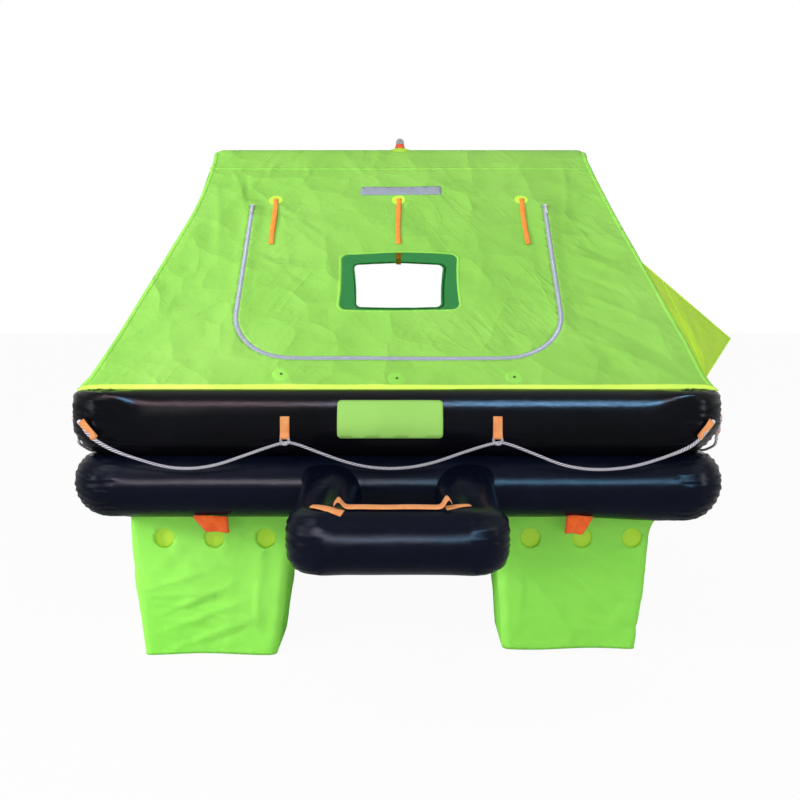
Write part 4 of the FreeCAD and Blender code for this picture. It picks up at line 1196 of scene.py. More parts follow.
def slope_y(z):
    """Half depth of the canopy at a height."""
    flat_y = HALF - (z - BASE_Z) / math.tan(SLOPE)
    top = RIDGE_C + RIDGE_R * math.cos(SLOPE)
    round_y = np.sqrt(np.maximum(RIDGE_R ** 2 - (np.maximum(z, RIDGE_C) - RIDGE_C) ** 2, 0))
    return np.where(z < BASE_Z, HALF, np.where(z < top, flat_y, round_y))


def arch_outside(z):
    """Outer face of the arch tube's leg and bend at a height."""
    leg = 0.806 - 0.19 * (z - CREST_Z + 0.030) / 0.775 + 0.0716
    bend = 0.514 + np.sqrt(np.maximum(0.1995 ** 2 - np.maximum(z - 0.99, 0) ** 2, 0))
    return np.where(z < 1.0, leg, bend)


def gable_at(sign):
    folds = [(-0.75, 0.42, -0.10, 0.70, 0.02, 0.005), (0.75, 0.42, 0.12, 0.72, 0.02, 0.005),
             (-0.30, 0.40, -0.05, 1.05, 0.02, 0.004), (0.32, 0.40, 0.06, 1.04, 0.018, 0.004),
             (-0.60, 0.40, -0.30, 0.80, 0.015, -0.004), (0.62, 0.40, 0.34, 0.78, 0.015, -0.004)]
    folds = [(a, b, c, d, e, 1.5 * f) for a, b, c, d, e, f in folds]
    folds += scatter(90, (-0.8, 0.8, 0.40, 1.10), lambda y, z: 0.9 if y < 0 else math.pi - 0.9,
                     17 + sign, 0.0022)

    def place(y, z, w=0.0):
        y, z = np.asarray(y, float), np.asarray(z, float)
        edge = slope_y(z) - np.abs(y)
        low = ease((z - BASE_Z + 0.02) / 0.08)
        over = np.exp(-(y / 0.11) ** 2)
        sag = 0.016 * ease(edge / 0.25) * low * ease((RIDGE_Z - z) / 0.3) * (1 - over)
        seed = 17 + sign
        bump = 0.003 * soft(y, z, 0.14, seed) + 0.0012 * soft(y, z, 0.05, seed + 1)
        bump = bump + creases(y, z, folds)
        gather = 0.0009 * np.sin((y + z) / 0.007 + 4 * soft(y, z, 0.08, seed)) * np.exp(-(edge / 0.03) ** 2)
        off = (bump * ease(edge / 0.08) + gather * ease(edge / 0.01)) * low - sag
        hip = hip_x(np.maximum(z, BASE_Z), sign)
        lift = np.maximum(arch_outside(z) + 0.005 - hip, 0) * over * ease((z - BASE_Z) / 0.05)
        px, pz = rounded_end(sign * (hip + lift + off + w), z)
        return np.column_stack([px, y, pz])
    return place


foot_z = UPPER_Z + math.sqrt(TUBE_R ** 2 - (HEM_HALF - HALF) ** 2)
zs = np.concatenate([[foot_z], np.linspace(BASE_Z, RIDGE_C + RIDGE_R * math.cos(SLOPE), 60),
                     RIDGE_C + RIDGE_R * np.cos(np.linspace(SLOPE, 0, 12)[1:-1])])
ys = slope_y(zs)
outline = [(-y, z) for y, z in zip(ys, zs)] + [(0.0, RIDGE_Z)] + [(y, z) for y, z in zip(ys[::-1], zs[::-1])]
outline = dense(outline[::-1], STEP)
port = dense(round_box(-0.392, -0.176, BASE_Z + 0.075, BASE_Z + 0.325, 0.04), 0.010)
for name, sign in (("left", -1), ("right", 1)):
    flat, tris = fill(outline, [port] if sign > 0 else [], STEP)
    place = gable_at(sign)
    if sign < 0:
        tris = tris[:, ::-1]
    piece = new_mesh("gable_cloth_" + name, place(flat[:, 0], flat[:, 1]), tris,
                     [MATS["canopy"], MATS["canopy_in_painted_shade"]], flat)
    solidify(piece, CLOTH, -1.0, 1)
    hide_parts("gable_" + name)
    flat_area(flat, tris)
    rims = []
    zz = np.linspace(BASE_Z + 0.004, RIDGE_Z - 0.03, 120)
    for s in (-1, 1):
        rims.append(ribbon(np.column_stack([s * (slope_y(zz) - 0.009), zz]), 0.012, 0.0007, place, 0.0004, 3))
    yy = np.linspace(-0.85, 0.85, 200)
    rims.append(ribbon(np.column_stack([yy, np.full(200, foot_z + 0.010)]), 0.020, 0.0014, place, 0.0010, 3))
    if sign > 0:
        mid = port.mean(axis=0)
        grown = mid + (port - mid) * 1.05
        rims.append(ribbon(grown, 0.012, 0.0011, place, 0.0008, 3, True))
    v, f, u = joined(rims)
    trim = new_mesh("gable_seams_" + name, v, f, MATS["canopy"], u)


# ---- lookout hood ----

def hood_grid(edge_a, edge_b, nu, nv, sag, seed, amp=0.004):
    """Cloth between two edges that are given as functions of 0 to 1."""
    u = np.linspace(0, 1, nu)
    grid = np.array([lerp(edge_a(u), edge_b(u), k / (nv - 1)) for k in range(nv)])
    du = np.gradient(grid, axis=1)
    dv = np.gradient(grid, axis=0)
    n = np.cross(du, dv)
    n /= np.maximum(np.linalg.norm(n, axis=2), 1e-9)[:, :, None]
    tt, uu = np.meshgrid(np.linspace(0, 1, nv), u, indexing="ij")
    shape = np.sin(np.pi * tt) * np.sin(np.pi * uu)
    off = sag * shape + amp * soft(uu * 0.5, tt * 0.5, 0.09, seed) * shape
    off += 0.5 * amp * soft(uu * 0.5 + tt * 0.3, tt * 0.2, 0.035, seed + 1) * np.sqrt(shape)
    grid = grid + n * off[:, :, None]
    return grid.reshape(-1, 3), quads(nv, nu, False), np.column_stack([uu.ravel(), tt.ravel()])


def straight(a, b):
    a, b = np.array(a), np.array(b)
    return lambda t: a + (b - a) * np.asarray(t)[:, None]


def on_gable(y0, z0, y1, z1):
    def line(t):
        return gable_at(1)(lerp(y0, y1, t), lerp(z0, z1, t), 0.001)
    return line


TOP_A, TOP_B = (-0.446, 0.762), (-0.124, 0.762)
LIP_A, LIP_B = (1.090, -0.500, 0.509), (1.090, -0.170, 0.509)
LOW_A, LOW_B = (0.914, -0.800, 0.403), (0.936, -0.126, 0.384)


def lip(t):
    """The lip hangs a little between its two corners."""
    t = np.asarray(t)
    p = straight(LIP_A, LIP_B)(t)
    p[:, 2] -= 0.012 * np.sin(np.pi * t)
    p[:, 0] -= 0.004 * np.sin(np.pi * t)
    return p


roof_top, cheek_edge = on_gable(*TOP_A, *TOP_B), straight(LIP_A, LOW_A)
roof = hood_grid(roof_top, lip, 34, 40, -0.016, 51)
cheek = hood_grid(on_gable(*TOP_A, -0.838, 0.386), cheek_edge, 40, 34, 0.010, 57)
back = hood_grid(straight(LIP_B, LOW_B), on_gable(*TOP_B, -0.124, 0.386), 30, 26, 0.008, 61)
v, f, u = joined([roof, cheek, back])
hood = new_mesh("hood_cloth", v, f, [MATS["hood"], MATS["canopy_in_painted_shade"]], u)
weld = hood.modifiers.new("weld", "WELD")
weld.merge_threshold = 0.0015
solidify(hood, 0.0010, -1.0, 1)
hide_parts("lookout_hood")
edge_parts = []
for curve in (lip, cheek_edge, lambda t: lerp(roof_top(t * 0), np.array(LIP_A), t[:, None])):
    pts = curve(np.linspace(0, 1, 60))
    edge_parts.append(tube_mesh(pts, 0.0022, 8))
# The seam that runs down the cheek beside the gable
edge_parts.append(tube_mesh(cheek[0].reshape(34, 40, 3)[8], 0.0017, 8))
v, f, u = joined(edge_parts)
piping = new_mesh("hood_piping", v, f, MATS["hood"], u)


# ---- sign, tabs and loops ----

def on_tube(level_z):
    """Surface coordinates: along the front and the arc length up from level."""
    def place(s, g, w=0.0):
        s, g = np.asarray(s, float), np.asarray(g, float)
        a = g / TUBE_R
        r = TUBE_R + w
        return np.column_stack([s, -HALF - r * np.cos(a), level_z + r * np.sin(a)])
    return place


upper_at = on_tube(UPPER_Z)
low_g, high_g = math.radians(-20) * TUBE_R, math.radians(47) * TUBE_R
fv, ff = fill(dense(round_box(-0.173, 0.127, low_g, high_g, 0.012), 0.008), [], 0.009)
puff = 0.0018 + 0.0005 * soft(fv[:, 0], fv[:, 1], 0.05, 71)
sign_face = new_mesh("sign_face", upper_at(fv[:, 0], fv[:, 1], puff), ff, MATS["sign"], fv)
solidify(sign_face, 0.0014)
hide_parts("sign_panel")

tab_parts = []
tab_places = {0: ((-0.862, 38), (-0.321, 0), (0.282, 0), (0.862, -38))}
for degrees in (90, 180, 270):
    tab_places[degrees] = ((-0.816, 30), (-0.300, 0), (0.300, 0), (0.816, -30))
for degrees, spots in tab_places.items():
    for s, lean in spots:
        # Down the tube, round the rope's eye and back up on itself
        top_a, low_a = math.radians(17), math.radians(-12)
        eye_r = 0.0062
        ey = (TUBE_R + 0.0078) * math.cos(math.radians(-15.5))
        ez = (TUBE_R + 0.0078) * math.sin(math.radians(-15.5))
        line = [((TUBE_R + 0.0018) * math.cos(a), (TUBE_R + 0.0018) * math.sin(a))
                for a in np.linspace(top_a, low_a, 14)]
        line += [(ey + eye_r * math.cos(a), ez + eye_r * math.sin(a))
                 for a in np.linspace(math.radians(170), math.radians(400), 20)]
        line += [((TUBE_R + 0.0042) * math.cos(a), (TUBE_R + 0.0042) * math.sin(a))
                 for a in np.linspace(math.radians(-8), math.radians(15.5), 10)]
        line = dense(line, 0.003, False)
        far = run_of(line)
        nrm = np.gradient(line, axis=0)
        nrm /= np.linalg.norm(nrm, axis=1)[:, None]
        nrm = np.column_stack([nrm[:, 1], -nrm[:, 0]])

        def place(x, d, w):
            k = np.arange(len(far))
            i = np.interp(d, far, k)
            px = np.interp(i, k, line[:, 0]) + w * np.interp(i, k, nrm[:, 0])
            pz = np.interp(i, k, line[:, 1]) + w * np.interp(i, k, nrm[:, 1])
            tilt = math.radians(lean)
            dx = x * math.cos(tilt) - (pz - ez) * math.sin(tilt)
            dz = (pz - ez) * math.cos(tilt) + x * math.sin(tilt)
            back = np.sqrt(np.maximum(TUBE_R ** 2 - np.minimum(np.abs(ez + dz), 0.09) ** 2, 0))
            here = np.sqrt(np.maximum(TUBE_R ** 2 - pz ** 2, 0))
            return np.column_stack([s + dx, -HALF - px + here - back, UPPER_Z + ez + dz])

        wide = 0.0262 if lean == 0 else 0.0200
        v, f, u = ribbon(np.column_stack([np.zeros(len(far)), far]), wide, 0.0022, place, 0.0, 5)
        tab_parts.append((turn(v, degrees), f, u))
v, f, u = joined(tab_parts)
tabs = new_mesh("rope_tabs", drawn_in(v), f, MATS["orange"], u)
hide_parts("lifeline_tabs")

# Wide webbing folded into a loop: x at its top and at its fold, and the fold's height
loop_parts = []
for top_x, low_x, low_z in (((-0.597, -0.498), (-0.560, -0.494), -0.040),
                            ((0.492, 0.566), (0.487, 0.536), -0.045)):
    fold_r = 0.006
    line = [(-0.8965, z) for z in np.linspace(0.006, low_z + fold_r, 14)]
    line += [(-0.9025 + fold_r * math.cos(a), low_z + fold_r + fold_r * math.sin(a))
             for a in np.linspace(0, -math.pi, 9)[1:]]
    line += [(-0.9085 - 0.003 * math.sin(3 * t), z) for t, z in
             zip(np.linspace(0, 1, 14), np.linspace(low_z + fold_r, 0.010, 14)[1:])]
    line = np.array(line)
    far = run_of(line)
    rows, uvs = [], []
    for face in (1, -1):
        for t in np.linspace(0, 1, 9)[::face]:
            down = np.clip((0.006 - line[:, 1]) / (0.006 - low_z), 0, 1)
            x = lerp(lerp(top_x[0], top_x[1], t), lerp(low_x[0], low_x[1], t), down)
            y = line[:, 0] + face * 0.0009 + 0.0022 * np.sin(9 * t + 3 * down)
            rows.append(np.column_stack([x, y, line[:, 1] + 0.002 * math.sin(5 * t)]))
            uvs.append(np.column_stack([far, x]))
    loop_parts.append(loft(rows, False, uvs))
v, f, u = joined(loop_parts)
loops = new_mesh("tow_loops", v, f, MATS["orange_deep"], u)
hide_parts("under_loops")


# ---- boarding ramp ----

def fillet_path(points, r, step):
    """Straight runs with round corners, points about step apart."""
    points = [np.array(p, float) for p in points]
    out = [points[0]]
    for a, b, c in zip(points, points[1:], points[2:]):
        u, w = (a - b) / np.linalg.norm(a - b), (c - b) / np.linalg.norm(c - b)
        angle = math.acos(np.clip(np.dot(u, w), -1, 1))
        reach = r / math.tan(angle / 2)
        p0, p1 = b + u * reach, b + w * reach
        centre = b + (u + w) / np.linalg.norm(u + w) * (r / math.sin(angle / 2))
        for t in np.linspace(0, 1, 10):
            q = lerp(p0, p1, t) - centre
            out.append(centre + q / np.linalg.norm(q) * r)
    out.append(points[-1])
    return dense(out, step, False)


RAMP_R = 0.078
BAR = (-1.4115, LOWER_Z - 0.030)
ROOT_Z = LOWER_Z - 0.018
around, leg_n, bend, bar_n = 72, 60, 10, 70
a = (2 * math.pi * np.arange(around) / around)[:, None]
kinds = np.array([0] * leg_n + [1] * bend + [2] * bar_n + [3] * bend + [4] * leg_n)[None, :]
t = np.concatenate([np.linspace(0, 1, leg_n), np.linspace(0, 1, bend + 2)[1:-1], np.linspace(0, 1, bar_n),
                    np.linspace(0, 1, bend + 2)[1:-1], np.linspace(0, 1, leg_n)])[None, :]
r = RAMP_R + 0 * a * t
for _ in range(2):
    off = r * np.cos(a)
    hx, hy = 0.190 + off, -BAR[0] + off
    rc = np.maximum(0.020 + off, 0.006)
    w = t * math.pi / 2
    x = np.select([kinds == 0, kinds == 1, kinds == 2, kinds == 3], [
        -hx, -(hx - rc) - rc * np.cos(w), lerp(-(hx - rc), hx - rc, t), hx - rc + rc * np.sin(w)], hx)
    y = np.select([kinds == 0, kinds == 1, kinds == 2, kinds == 3], [
        lerp(-0.900, -(hy - rc), t), -(hy - rc) - rc * np.sin(w), -hy, -(hy - rc) - rc * np.cos(w)],
        lerp(-(hy - rc), -0.900, t))
    near = np.where(kinds % 2 == 1, 0.0, np.hypot(np.abs(x) - hx + rc * 0.3, -y - hy + rc * 0.3))
    tip, edge = np.exp(-(near / 0.05) ** 2), np.exp(-(near / 0.03) ** 2)
    g = a * RAMP_R + 0 * t
    power = 2 + 1.3 * tip * (np.cos(a) > 0)
    full = np.exp(-np.clip(-0.930 - y, 0, 1) / 0.16) * (kinds % 4 == 0)
    power = power + 2.8 * full * (np.cos(a) > 0) * (np.sin(a) > 0)
    squared = (np.abs(np.cos(a)) ** power + np.abs(np.sin(a)) ** power) ** (-1 / power)
    root = -HALF - np.sqrt(np.maximum(TUBE_R ** 2 - (r * np.sin(a) + ROOT_Z - LOWER_Z) ** 2, 0.0004)) - y
    r = RAMP_R * squared + 0.0014 * edge * np.sin(g / 0.0030 + 3 * soft(g, x, 0.03, 81))
    r = r + 0.0007 * soft(x + y, g, 0.10, 83) + 0.004 * np.exp(-(x / 0.20) ** 6) * (kinds == 2)
    r = r + 0.009 * np.exp(-np.clip(root, 0, 1) / 0.010) * (kinds % 4 == 0)
z = lerp(BAR[1], ROOT_Z, np.clip((y - BAR[0]) / (-0.955 - BAR[0]), 0, 1)) + r * np.sin(a)
grid = np.stack([x, y, z], axis=2)
v, f, u = loft(list(grid), False, list(np.stack([x + y, g], axis=2)))
ramp = new_mesh("ramp_skin", v, [q[::-1] for q in f], MATS["tube_low_painted_reflection"], u)
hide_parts("ramp_tube")


# Grab strap: an end sewn flat at each side, and the strap looped up from it
def on_bar(x, g, w=0.0):
    r = RAMP_R + 0.0044 + w
    return np.column_stack([x, BAR[0] - r * np.cos(g / RAMP_R), BAR[1] + r * np.sin(g / RAMP_R)])


deg = math.radians(1) * RAMP_R
parts = []
for x0, g0, x1, g1 in ((-0.203, 86, -0.128, 62), (0.170, 92, 0.112, 78)):
    way = np.column_stack([np.linspace(x0, x1, 24), np.linspace(g0, g1, 24) * deg])
    parts.append(ribbon(way, 0.023, 0.0024, on_bar, 0.0016 + 0.0008 * np.sin(np.linspace(0, 5, 24)), 4))
xs = np.linspace(-0.150, 0.126, 140)
hump = 0.019 * np.exp(-((xs + 0.139) / 0.011) ** 2) + 0.021 * np.exp(-((xs - 0.117) / 0.010) ** 2)
parts.append(ribbon(np.column_stack([xs, (78 + 4 * ease((xs - 0.09) / 0.04)) * deg]), 0.0235, 0.0024, on_bar,
                    0.0040 + hump + 0.0004 * np.sin(xs / 0.02), 5))
v, f, u = joined(parts)
strap = new_mesh("ramp_grab_strap", v, f, MATS["orange"], u)
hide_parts("ramp_strap")


# ---- ballast bags ----

INLET_XS, INLET_Z, INLET_R = (0.399, 0.555, 0.706), -0.080, 0.0300


def bag_mesh(seed, top, bottom, depth, flare, lines):
    """Tapered cloth shell with soft corners, open at its top, with three inlets."""
    nh, r = 56, 0.020
    y_top, y_low = (0.510, 0.810), (0.540, 0.800)
    # Places round the shell: (right?, rear?, turn of the corner, share of the wall after it)
    per = []
    for cx, cy, start in ((1, 0, -90), (1, 1, 0), (0, 1, 90), (0, 0, 180)):
        per += [(cx, cy, math.radians(start + 18 * k), 0.0) for k in range(6)]
        n = 30 if cx != cy else 56
        per += [(cx, cy, math.radians(start + 90), k / n) for k in range(1, n)]
    after = {(1, 0): (1, 1), (1, 1): (0, 1), (0, 1): (0, 0), (0, 0): (1, 0)}
    h = np.linspace(0, 1, nh)
    x0 = lerp(top[0], bottom[0], h)
    x1 = lerp(top[1], bottom[1], h) - flare * (1 - np.exp(-(h / 0.10) ** 2)) * (1 - h)
    y0, y1 = lerp(y_top[0], y_low[0], h), lerp(y_top[1], y_low[1], h)
    cols = []
    for cx, cy, ang, share in per:
        def at(px, py):
            return np.column_stack([(x1 - r if px else x0 + r) + r * math.cos(ang),
                                    (y1 - r if py else y0 + r) + r * math.sin(ang)])
        cols.append(lerp(at(cx, cy), at(*after[(cx, cy)]), share))
    grid = np.stack(cols, axis=1)
    gx, gy = grid[:, :, 0], grid[:, :, 1]
    hh = h[:, None] + 0 * gx
    ang = np.array([p[2] for p in per])[None, :] + 0 * gx
    folds = creases(gx, 1 - hh, lines)
    wob = 0.004 * soft(gx + gy, hh * depth, 0.11, seed) + 0.0020 * soft(gx + gy, hh * depth, 0.04, seed + 1)
    edge = ease(hh / 0.10) * ease((1 - hh) / 0.03)
    off = (0.007 * np.sin(np.pi * hh) ** 0.8 + folds + wob) * edge
    off = off + 0.0014 * np.sin((gx + gy) / 0.006) * np.exp(-((1 - hh) / 0.03) ** 2) * (hh < 1)
    off = off + 0.0018 * np.sin((gx + gy) / 0.009) * np.exp(-(hh / 0.06) ** 2) * ease(hh / 0.02)
    px, py = gx + np.cos(ang) * off, gy + np.sin(ang) * off
    pz = -0.0004 - hh * depth + 0.003 * hh * np.sin((gx - 0.5) / 0.06)
    n = gx.shape[1]
    flat = np.stack([px, py, pz], axis=2).reshape(-1, 3)
    faces = quads(nh, n)
    # Inlets in the outer wall, with their rims drawn to true circles
    mid = np.array([flat[list(q)].mean(axis=0) for q in faces])
    hole = np.zeros(len(faces), bool)
    for x in INLET_XS:
        hole |= (np.hypot(mid[:, 0] - x, mid[:, 2] - INLET_Z) < 0.0290) & (mid[:, 1] > 0.7)
        d = np.hypot(flat[:, 0] - x, flat[:, 2] - INLET_Z)
        rim = (d > 0.023) & (d < 0.0345) & (flat[:, 1] > 0.7)
        flat[rim, 0] = x + (flat[rim, 0] - x) * INLET_R / d[rim]
        flat[rim, 2] = INLET_Z + (flat[rim, 2] - INLET_Z) * INLET_R / d[rim]
    faces = [q for q, open_here in zip(faces, hole) if not open_here]
    # Bottom
    ring = [(nh - 1) * n + i for i in range(n)]
    centre = np.array(((bottom[0] + bottom[1]) / 2, (y_low[0] + y_low[1]) / 2))
    last, extra = ring, []
    for k in (0.8, 0.55, 0.3, 0.1):
        start = len(flat) + len(extra)
        for i in ring:
            q = lerp(centre, flat[i, :2], k)
            extra.append((q[0], q[1], flat[i, 2] + 0.004 * (1 - k) * (1 + math.sin(q[0] * 40))))
        cur = list(range(start, start + n))
        faces += [(last[i], last[(i + 1) % n], cur[(i + 1) % n], cur[i]) for i in range(n)]
        last = cur
    faces.append(last)
    return np.concatenate([flat, np.array(extra)]), faces


LEFT_LINES = [(0.80, 0.45, 0.55, 0.62, 0.012, 0.0060), (0.80, 0.42, 0.48, 0.46, 0.014, 0.0050),
              (0.79, 0.38, 0.60, 0.34, 0.012, 0.0045), (0.77, 0.25, 0.46, 0.56, 0.016, 0.0065),
              (0.76, 0.14, 0.44, 0.42, 0.018, 0.0060), (0.70, 0.03, 0.42, 0.30, 0.018, 0.0055),
              (0.74, 0.30, 0.52, 0.40, 0.010, -0.0035), (0.60, 0.05, 0.44, 0.22, 0.014, -0.0040),
              (0.36, 0.92, 0.44, 0.50, 0.016, 0.0050), (0.40, 0.70, 0.42, 0.10, 0.020, 0.0060)]
RIGHT_LINES = [(0.34, 0.92, 0.70, 0.10, 0.035, 0.0080), (0.44, 0.96, 0.74, 0.35, 0.028, 0.0070),
               (0.34, 0.66, 0.54, 0.06, 0.030, 0.0070), (0.74, 0.86, 0.58, 0.66, 0.012, 0.0050),
               (0.75, 0.80, 0.62, 0.72, 0.010, -0.0035), (0.40, 0.84, 0.62, 0.36, 0.014, -0.0045),
               (0.345, 0.98, 0.350, 0.05, 0.008, 0.0030)]
BAGS = (("right_front", 1, 0, (0.304, 0.793), (0.321, 0.728), 0.430, 0.030, RIGHT_LINES),
        ("left_front", -1, 0, (0.312, 0.810), (0.375, 0.779), 0.447, 0.0, LEFT_LINES),
        ("right_rear", 1, 180, (0.306, 0.802), (0.345, 0.752), 0.436, 0.015, RIGHT_LINES[1:]),
        ("left_rear", -1, 180, (0.306, 0.802), (0.350, 0.756), 0.438, 0.010, LEFT_LINES[1:]))
flaps = []
for seed_now, (name, sign, turn_by, top, bottom, depth, flare, lines) in enumerate(BAGS):
    lines = [(a, b, c, d, 0.7 * e, 1.1 * f) for a, b, c, d, e, f in lines]
    lean = 0.75 if seed_now % 2 else -0.75
    lines += scatter(60, (0.34, 0.76, 0.05, 0.95), lambda x, h: lean, 60 + seed_now, 0.0022)
    v, f = bag_mesh(5 + seed_now, top, bottom, depth, flare, lines)
    v = turn(np.column_stack([v[:, 0] * sign, -v[:, 1], v[:, 2]]), turn_by)
    if sign < 0:
        f = [tuple(q)[::-1] for q in f]
    f = [tuple(q)[::-1] for q in f]
    bag = new_mesh("bag_cloth_" + name, v, f, [MATS["bag"], MATS["bag_in"]], v[:, :2])
    solidify(bag, 0.0008, -1.0, 1)
    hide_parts("ballast_bag_" + name)
    # Discs in the inlets, in the flaps' painted-light colour
    for x in INLET_XS:
        fv, ff = fill(np.array(circle(x, INLET_Z, 0.0335)), [], 0.008)
        depth_in = -0.8048 + 0.001 * np.sin(fv[:, 1] / 0.01)
        fv3 = np.column_stack([sign * fv[:, 0], depth_in, fv[:, 1]])
        flaps.append((turn(fv3, turn_by), [q[::sign] for q in ff.tolist()], fv))
v, f, u = joined(flaps)
flap = new_mesh("inlet_flaps", v, f, MATS["flap"], u)
solidify(flap, 0.0008)


# ---- floor, arch, lamp, cylinder and the rest ----

sheet_half = HALF + FLOOR_BAND
n = 60
gx, gy = np.meshgrid(np.linspace(-1, 1, n), np.linspace(-1, 1, n), indexing="ij")
gz = 0.0010 + 0.0004 * soft(gx, gy, 0.15, 91)
verts = np.column_stack([(gx * sheet_half).ravel(), (gy * sheet_half).ravel(), gz.ravel()])
faces = sheet_faces(n)
limit = 2 * sheet_half - 0.075
beyond = np.abs(verts[:, 0]) + np.abs(verts[:, 1]) - limit
keep = [f for f in faces if min(beyond[i] for i in f) < 0]
verts[:, :2] -= np.sign(verts[:, :2]) * np.maximum(beyond, 0)[:, None] / 2
floor_cloth = new_mesh("floor_cloth", verts, keep, MATS["floor"], verts[:, :2])
solidify(floor_cloth, 0.0016, 0.0)
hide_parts("floor_sheet")

low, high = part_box("floor_mat")
mat_half = high[0]
cells = 26
n = cells * 4 + 1
t = np.linspace(-1, 1, n)
gx, gy = np.meshgrid(t, t, indexing="ij")
puff = np.abs(np.sin(gx * math.pi * cells / 2) * np.sin(gy * math.pi * cells / 2)) ** 0.45
fall = ease((1 - np.maximum(np.abs(gx), np.abs(gy))) / 0.02)
gz = low[2] + 0.004 + (0.016 + 0.0055 * puff) * fall
mat_reach = mat_half - 0.002
verts = np.column_stack([(gx * mat_reach).ravel(), (gy * mat_reach).ravel(), gz.ravel()])
faces = sheet_faces(n)
rim = [i * n for i in range(n)] + [(n - 1) * n + j for j in range(n)]
rim += [i * n + n - 1 for i in range(n - 1, -1, -1)] + list(range(n - 1, -1, -1))
rim = [r for k, r in enumerate(rim) if r != rim[k - 1]]
base_ring = np.array([verts[r] * (1, 1, 0) + (0, 0, low[2] + 0.0006) for r in rim])
n0 = len(verts)
verts = np.concatenate([verts, base_ring])
m = len(rim)
faces += [(rim[(k + 1) % m], rim[k], n0 + k, n0 + (k + 1) % m) for k in range(m)]
faces.append([n0 + k for k in range(m)])
mat_piece = new_mesh("floor_mat_quilt", verts, faces, MATS["mat"], verts[:, :2])
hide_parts("floor_mat")

arch_line = fillet_path([(-0.806, 0, CREST_Z - 0.030), (-0.616, 0, RIDGE_C),
                         (0.616, 0, RIDGE_C), (0.806, 0, CREST_Z - 0.030)], 0.130, 0.012)
v, f, u = tube_mesh(arch_line, 0.0695, 48)
arch = new_mesh("arch_skin", v, f, MATS["tube"], u)
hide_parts("arch_tube")

# Lamp on the ridge: flared patch, base and ribbed dome
LAMP_X = 0.005
rings, seg = [], 48
levels = ((0.040, -0.001), (0.034, 0.0012), (0.026, 0.0035), (0.0205, 0.0056), (0.0, 0.0060))
for r, h in levels:
    w = np.linspace(0, 2 * math.pi, seg + 1)[:-1]
    x = LAMP_X + r * np.cos(w) * (1 + 0.04 * np.cos(3 * w))
    y = r * np.sin(w)
    z = RIDGE_C + np.sqrt(RIDGE_R ** 2 - (0.96 * y) ** 2)
    z = np.where(h > 0.005, RIDGE_Z + h, z + h + 0.0009)
    rings.append(np.column_stack([x, y, z]))
patch = new_mesh("lamp_flare", np.concatenate(rings), quads(len(levels), seg), MATS["patch"])
solidify(patch, 0.001)
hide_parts("lamp_patch")
z0 = RIDGE_Z + 0.006
v, f, u = lathe([(0.0185, 0.0), (0.0190, 0.0012), (0.0186, 0.0030), (0.0176, 0.0062), (0.0170, 0.0068),
                 (0.0168, 0.0100), (0.0156, 0.0140), (0.0150, 0.0150)], (LAMP_X, 0, z0), seg=64)
base = new_mesh("lamp_foot", v, f, MATS["lamp_orange"], u)
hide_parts("lamp_base")
dome = [(0.0148, 0.0), (0.0150, 0.002), (0.0150, 0.007)]
dome += [(0.0150 * math.cos(a), 0.007 + 0.0148 * math.sin(a)) for a in np.linspace(0.12, 1.5, 14)]
v, f, u = lathe(dome, (LAMP_X, 0, z0 + 0.015), seg=64)
lens = new_mesh("lamp_lens_dome", v, f, MATS["lamp_grey"], u)
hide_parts("lamp_dome")

# Gas cylinder with its straps
low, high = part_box("gas_cylinder")
cyl_y, cyl_z, cyl_r = (low[1] + high[1]) / 2, (low[2] + high[2]) / 2, (high[2] - low[2]) / 2
x0, x1 = low[0], high[0] - 0.026
prof = [(0.006, 0.0), (0.020, 0.0008)]
SHELL, FOOT_R, DOME, NECK_R = x1 - x0, 0.045, 0.057, 0.016
prof += [(cyl_r - FOOT_R + FOOT_R * math.sin(a), FOOT_R - FOOT_R * math.cos(a))
         for a in np.linspace(0.35, math.pi / 2, 10)]
prof += [(cyl_r, SHELL - DOME)]
prof += [(NECK_R + (cyl_r - NECK_R) * math.cos(a), SHELL - DOME + DOME * math.sin(a))
         for a in np.linspace(0.1, math.pi / 2, 12)]
prof += [(0.0158, SHELL + 0.004), (0.0158, SHELL + 0.026)]
v, f, u = lathe(prof, (x0, cyl_y, cyl_z), (1, 0, 0), 72)
bottle = new_mesh("cylinder_shell", v, f, MATS["cylinder"], u)
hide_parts("gas_cylinder")


def band_on(x, y, z, r):
    """Round a bar along x: offset along it, angle and lift."""
    def place(a, g, h):
        reach = r + 0.0016 + h
        return np.column_stack([x + a, y + reach * np.cos(g), z + reach * np.sin(g)])
    return place


BAND = ((-0.020, -0.0005), (-0.020, 0.0008), (0, 0.0011), (0.020, 0.0008), (0.020, -0.0005),
        (0, -0.0011))
parts = []
for x in (-0.105, 0.105):
    w = np.linspace(0, 2 * math.pi, 97)[:-1]
    place, on_lower = band_on(x, cyl_y, cyl_z, cyl_r), band_on(x, HALF, LOWER_Z, TUBE_R)
    rows, uvs = [], []
    for dx, dh in BAND:
        rows.append(place(np.full(len(w), dx), w, np.full(len(w), dh)))
        uvs.append(np.column_stack([w * cyl_r, np.full(len(w), dx)]))
    parts.append(loft(rows, True, uvs))
    gg = np.linspace(math.radians(-32), math.radians(32), 40)
    pad = lambda a, g, h: on_lower(a, g / TUBE_R, h)
    parts.append(ribbon(np.column_stack([np.zeros(40), gg * TUBE_R]), 0.040, 0.0022, pad, 0.0, 4))
v, f, u = joined(parts)
straps = new_mesh("cylinder_bands", v, f, MATS["strap_grey"], u)
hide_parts("cylinder_straps")

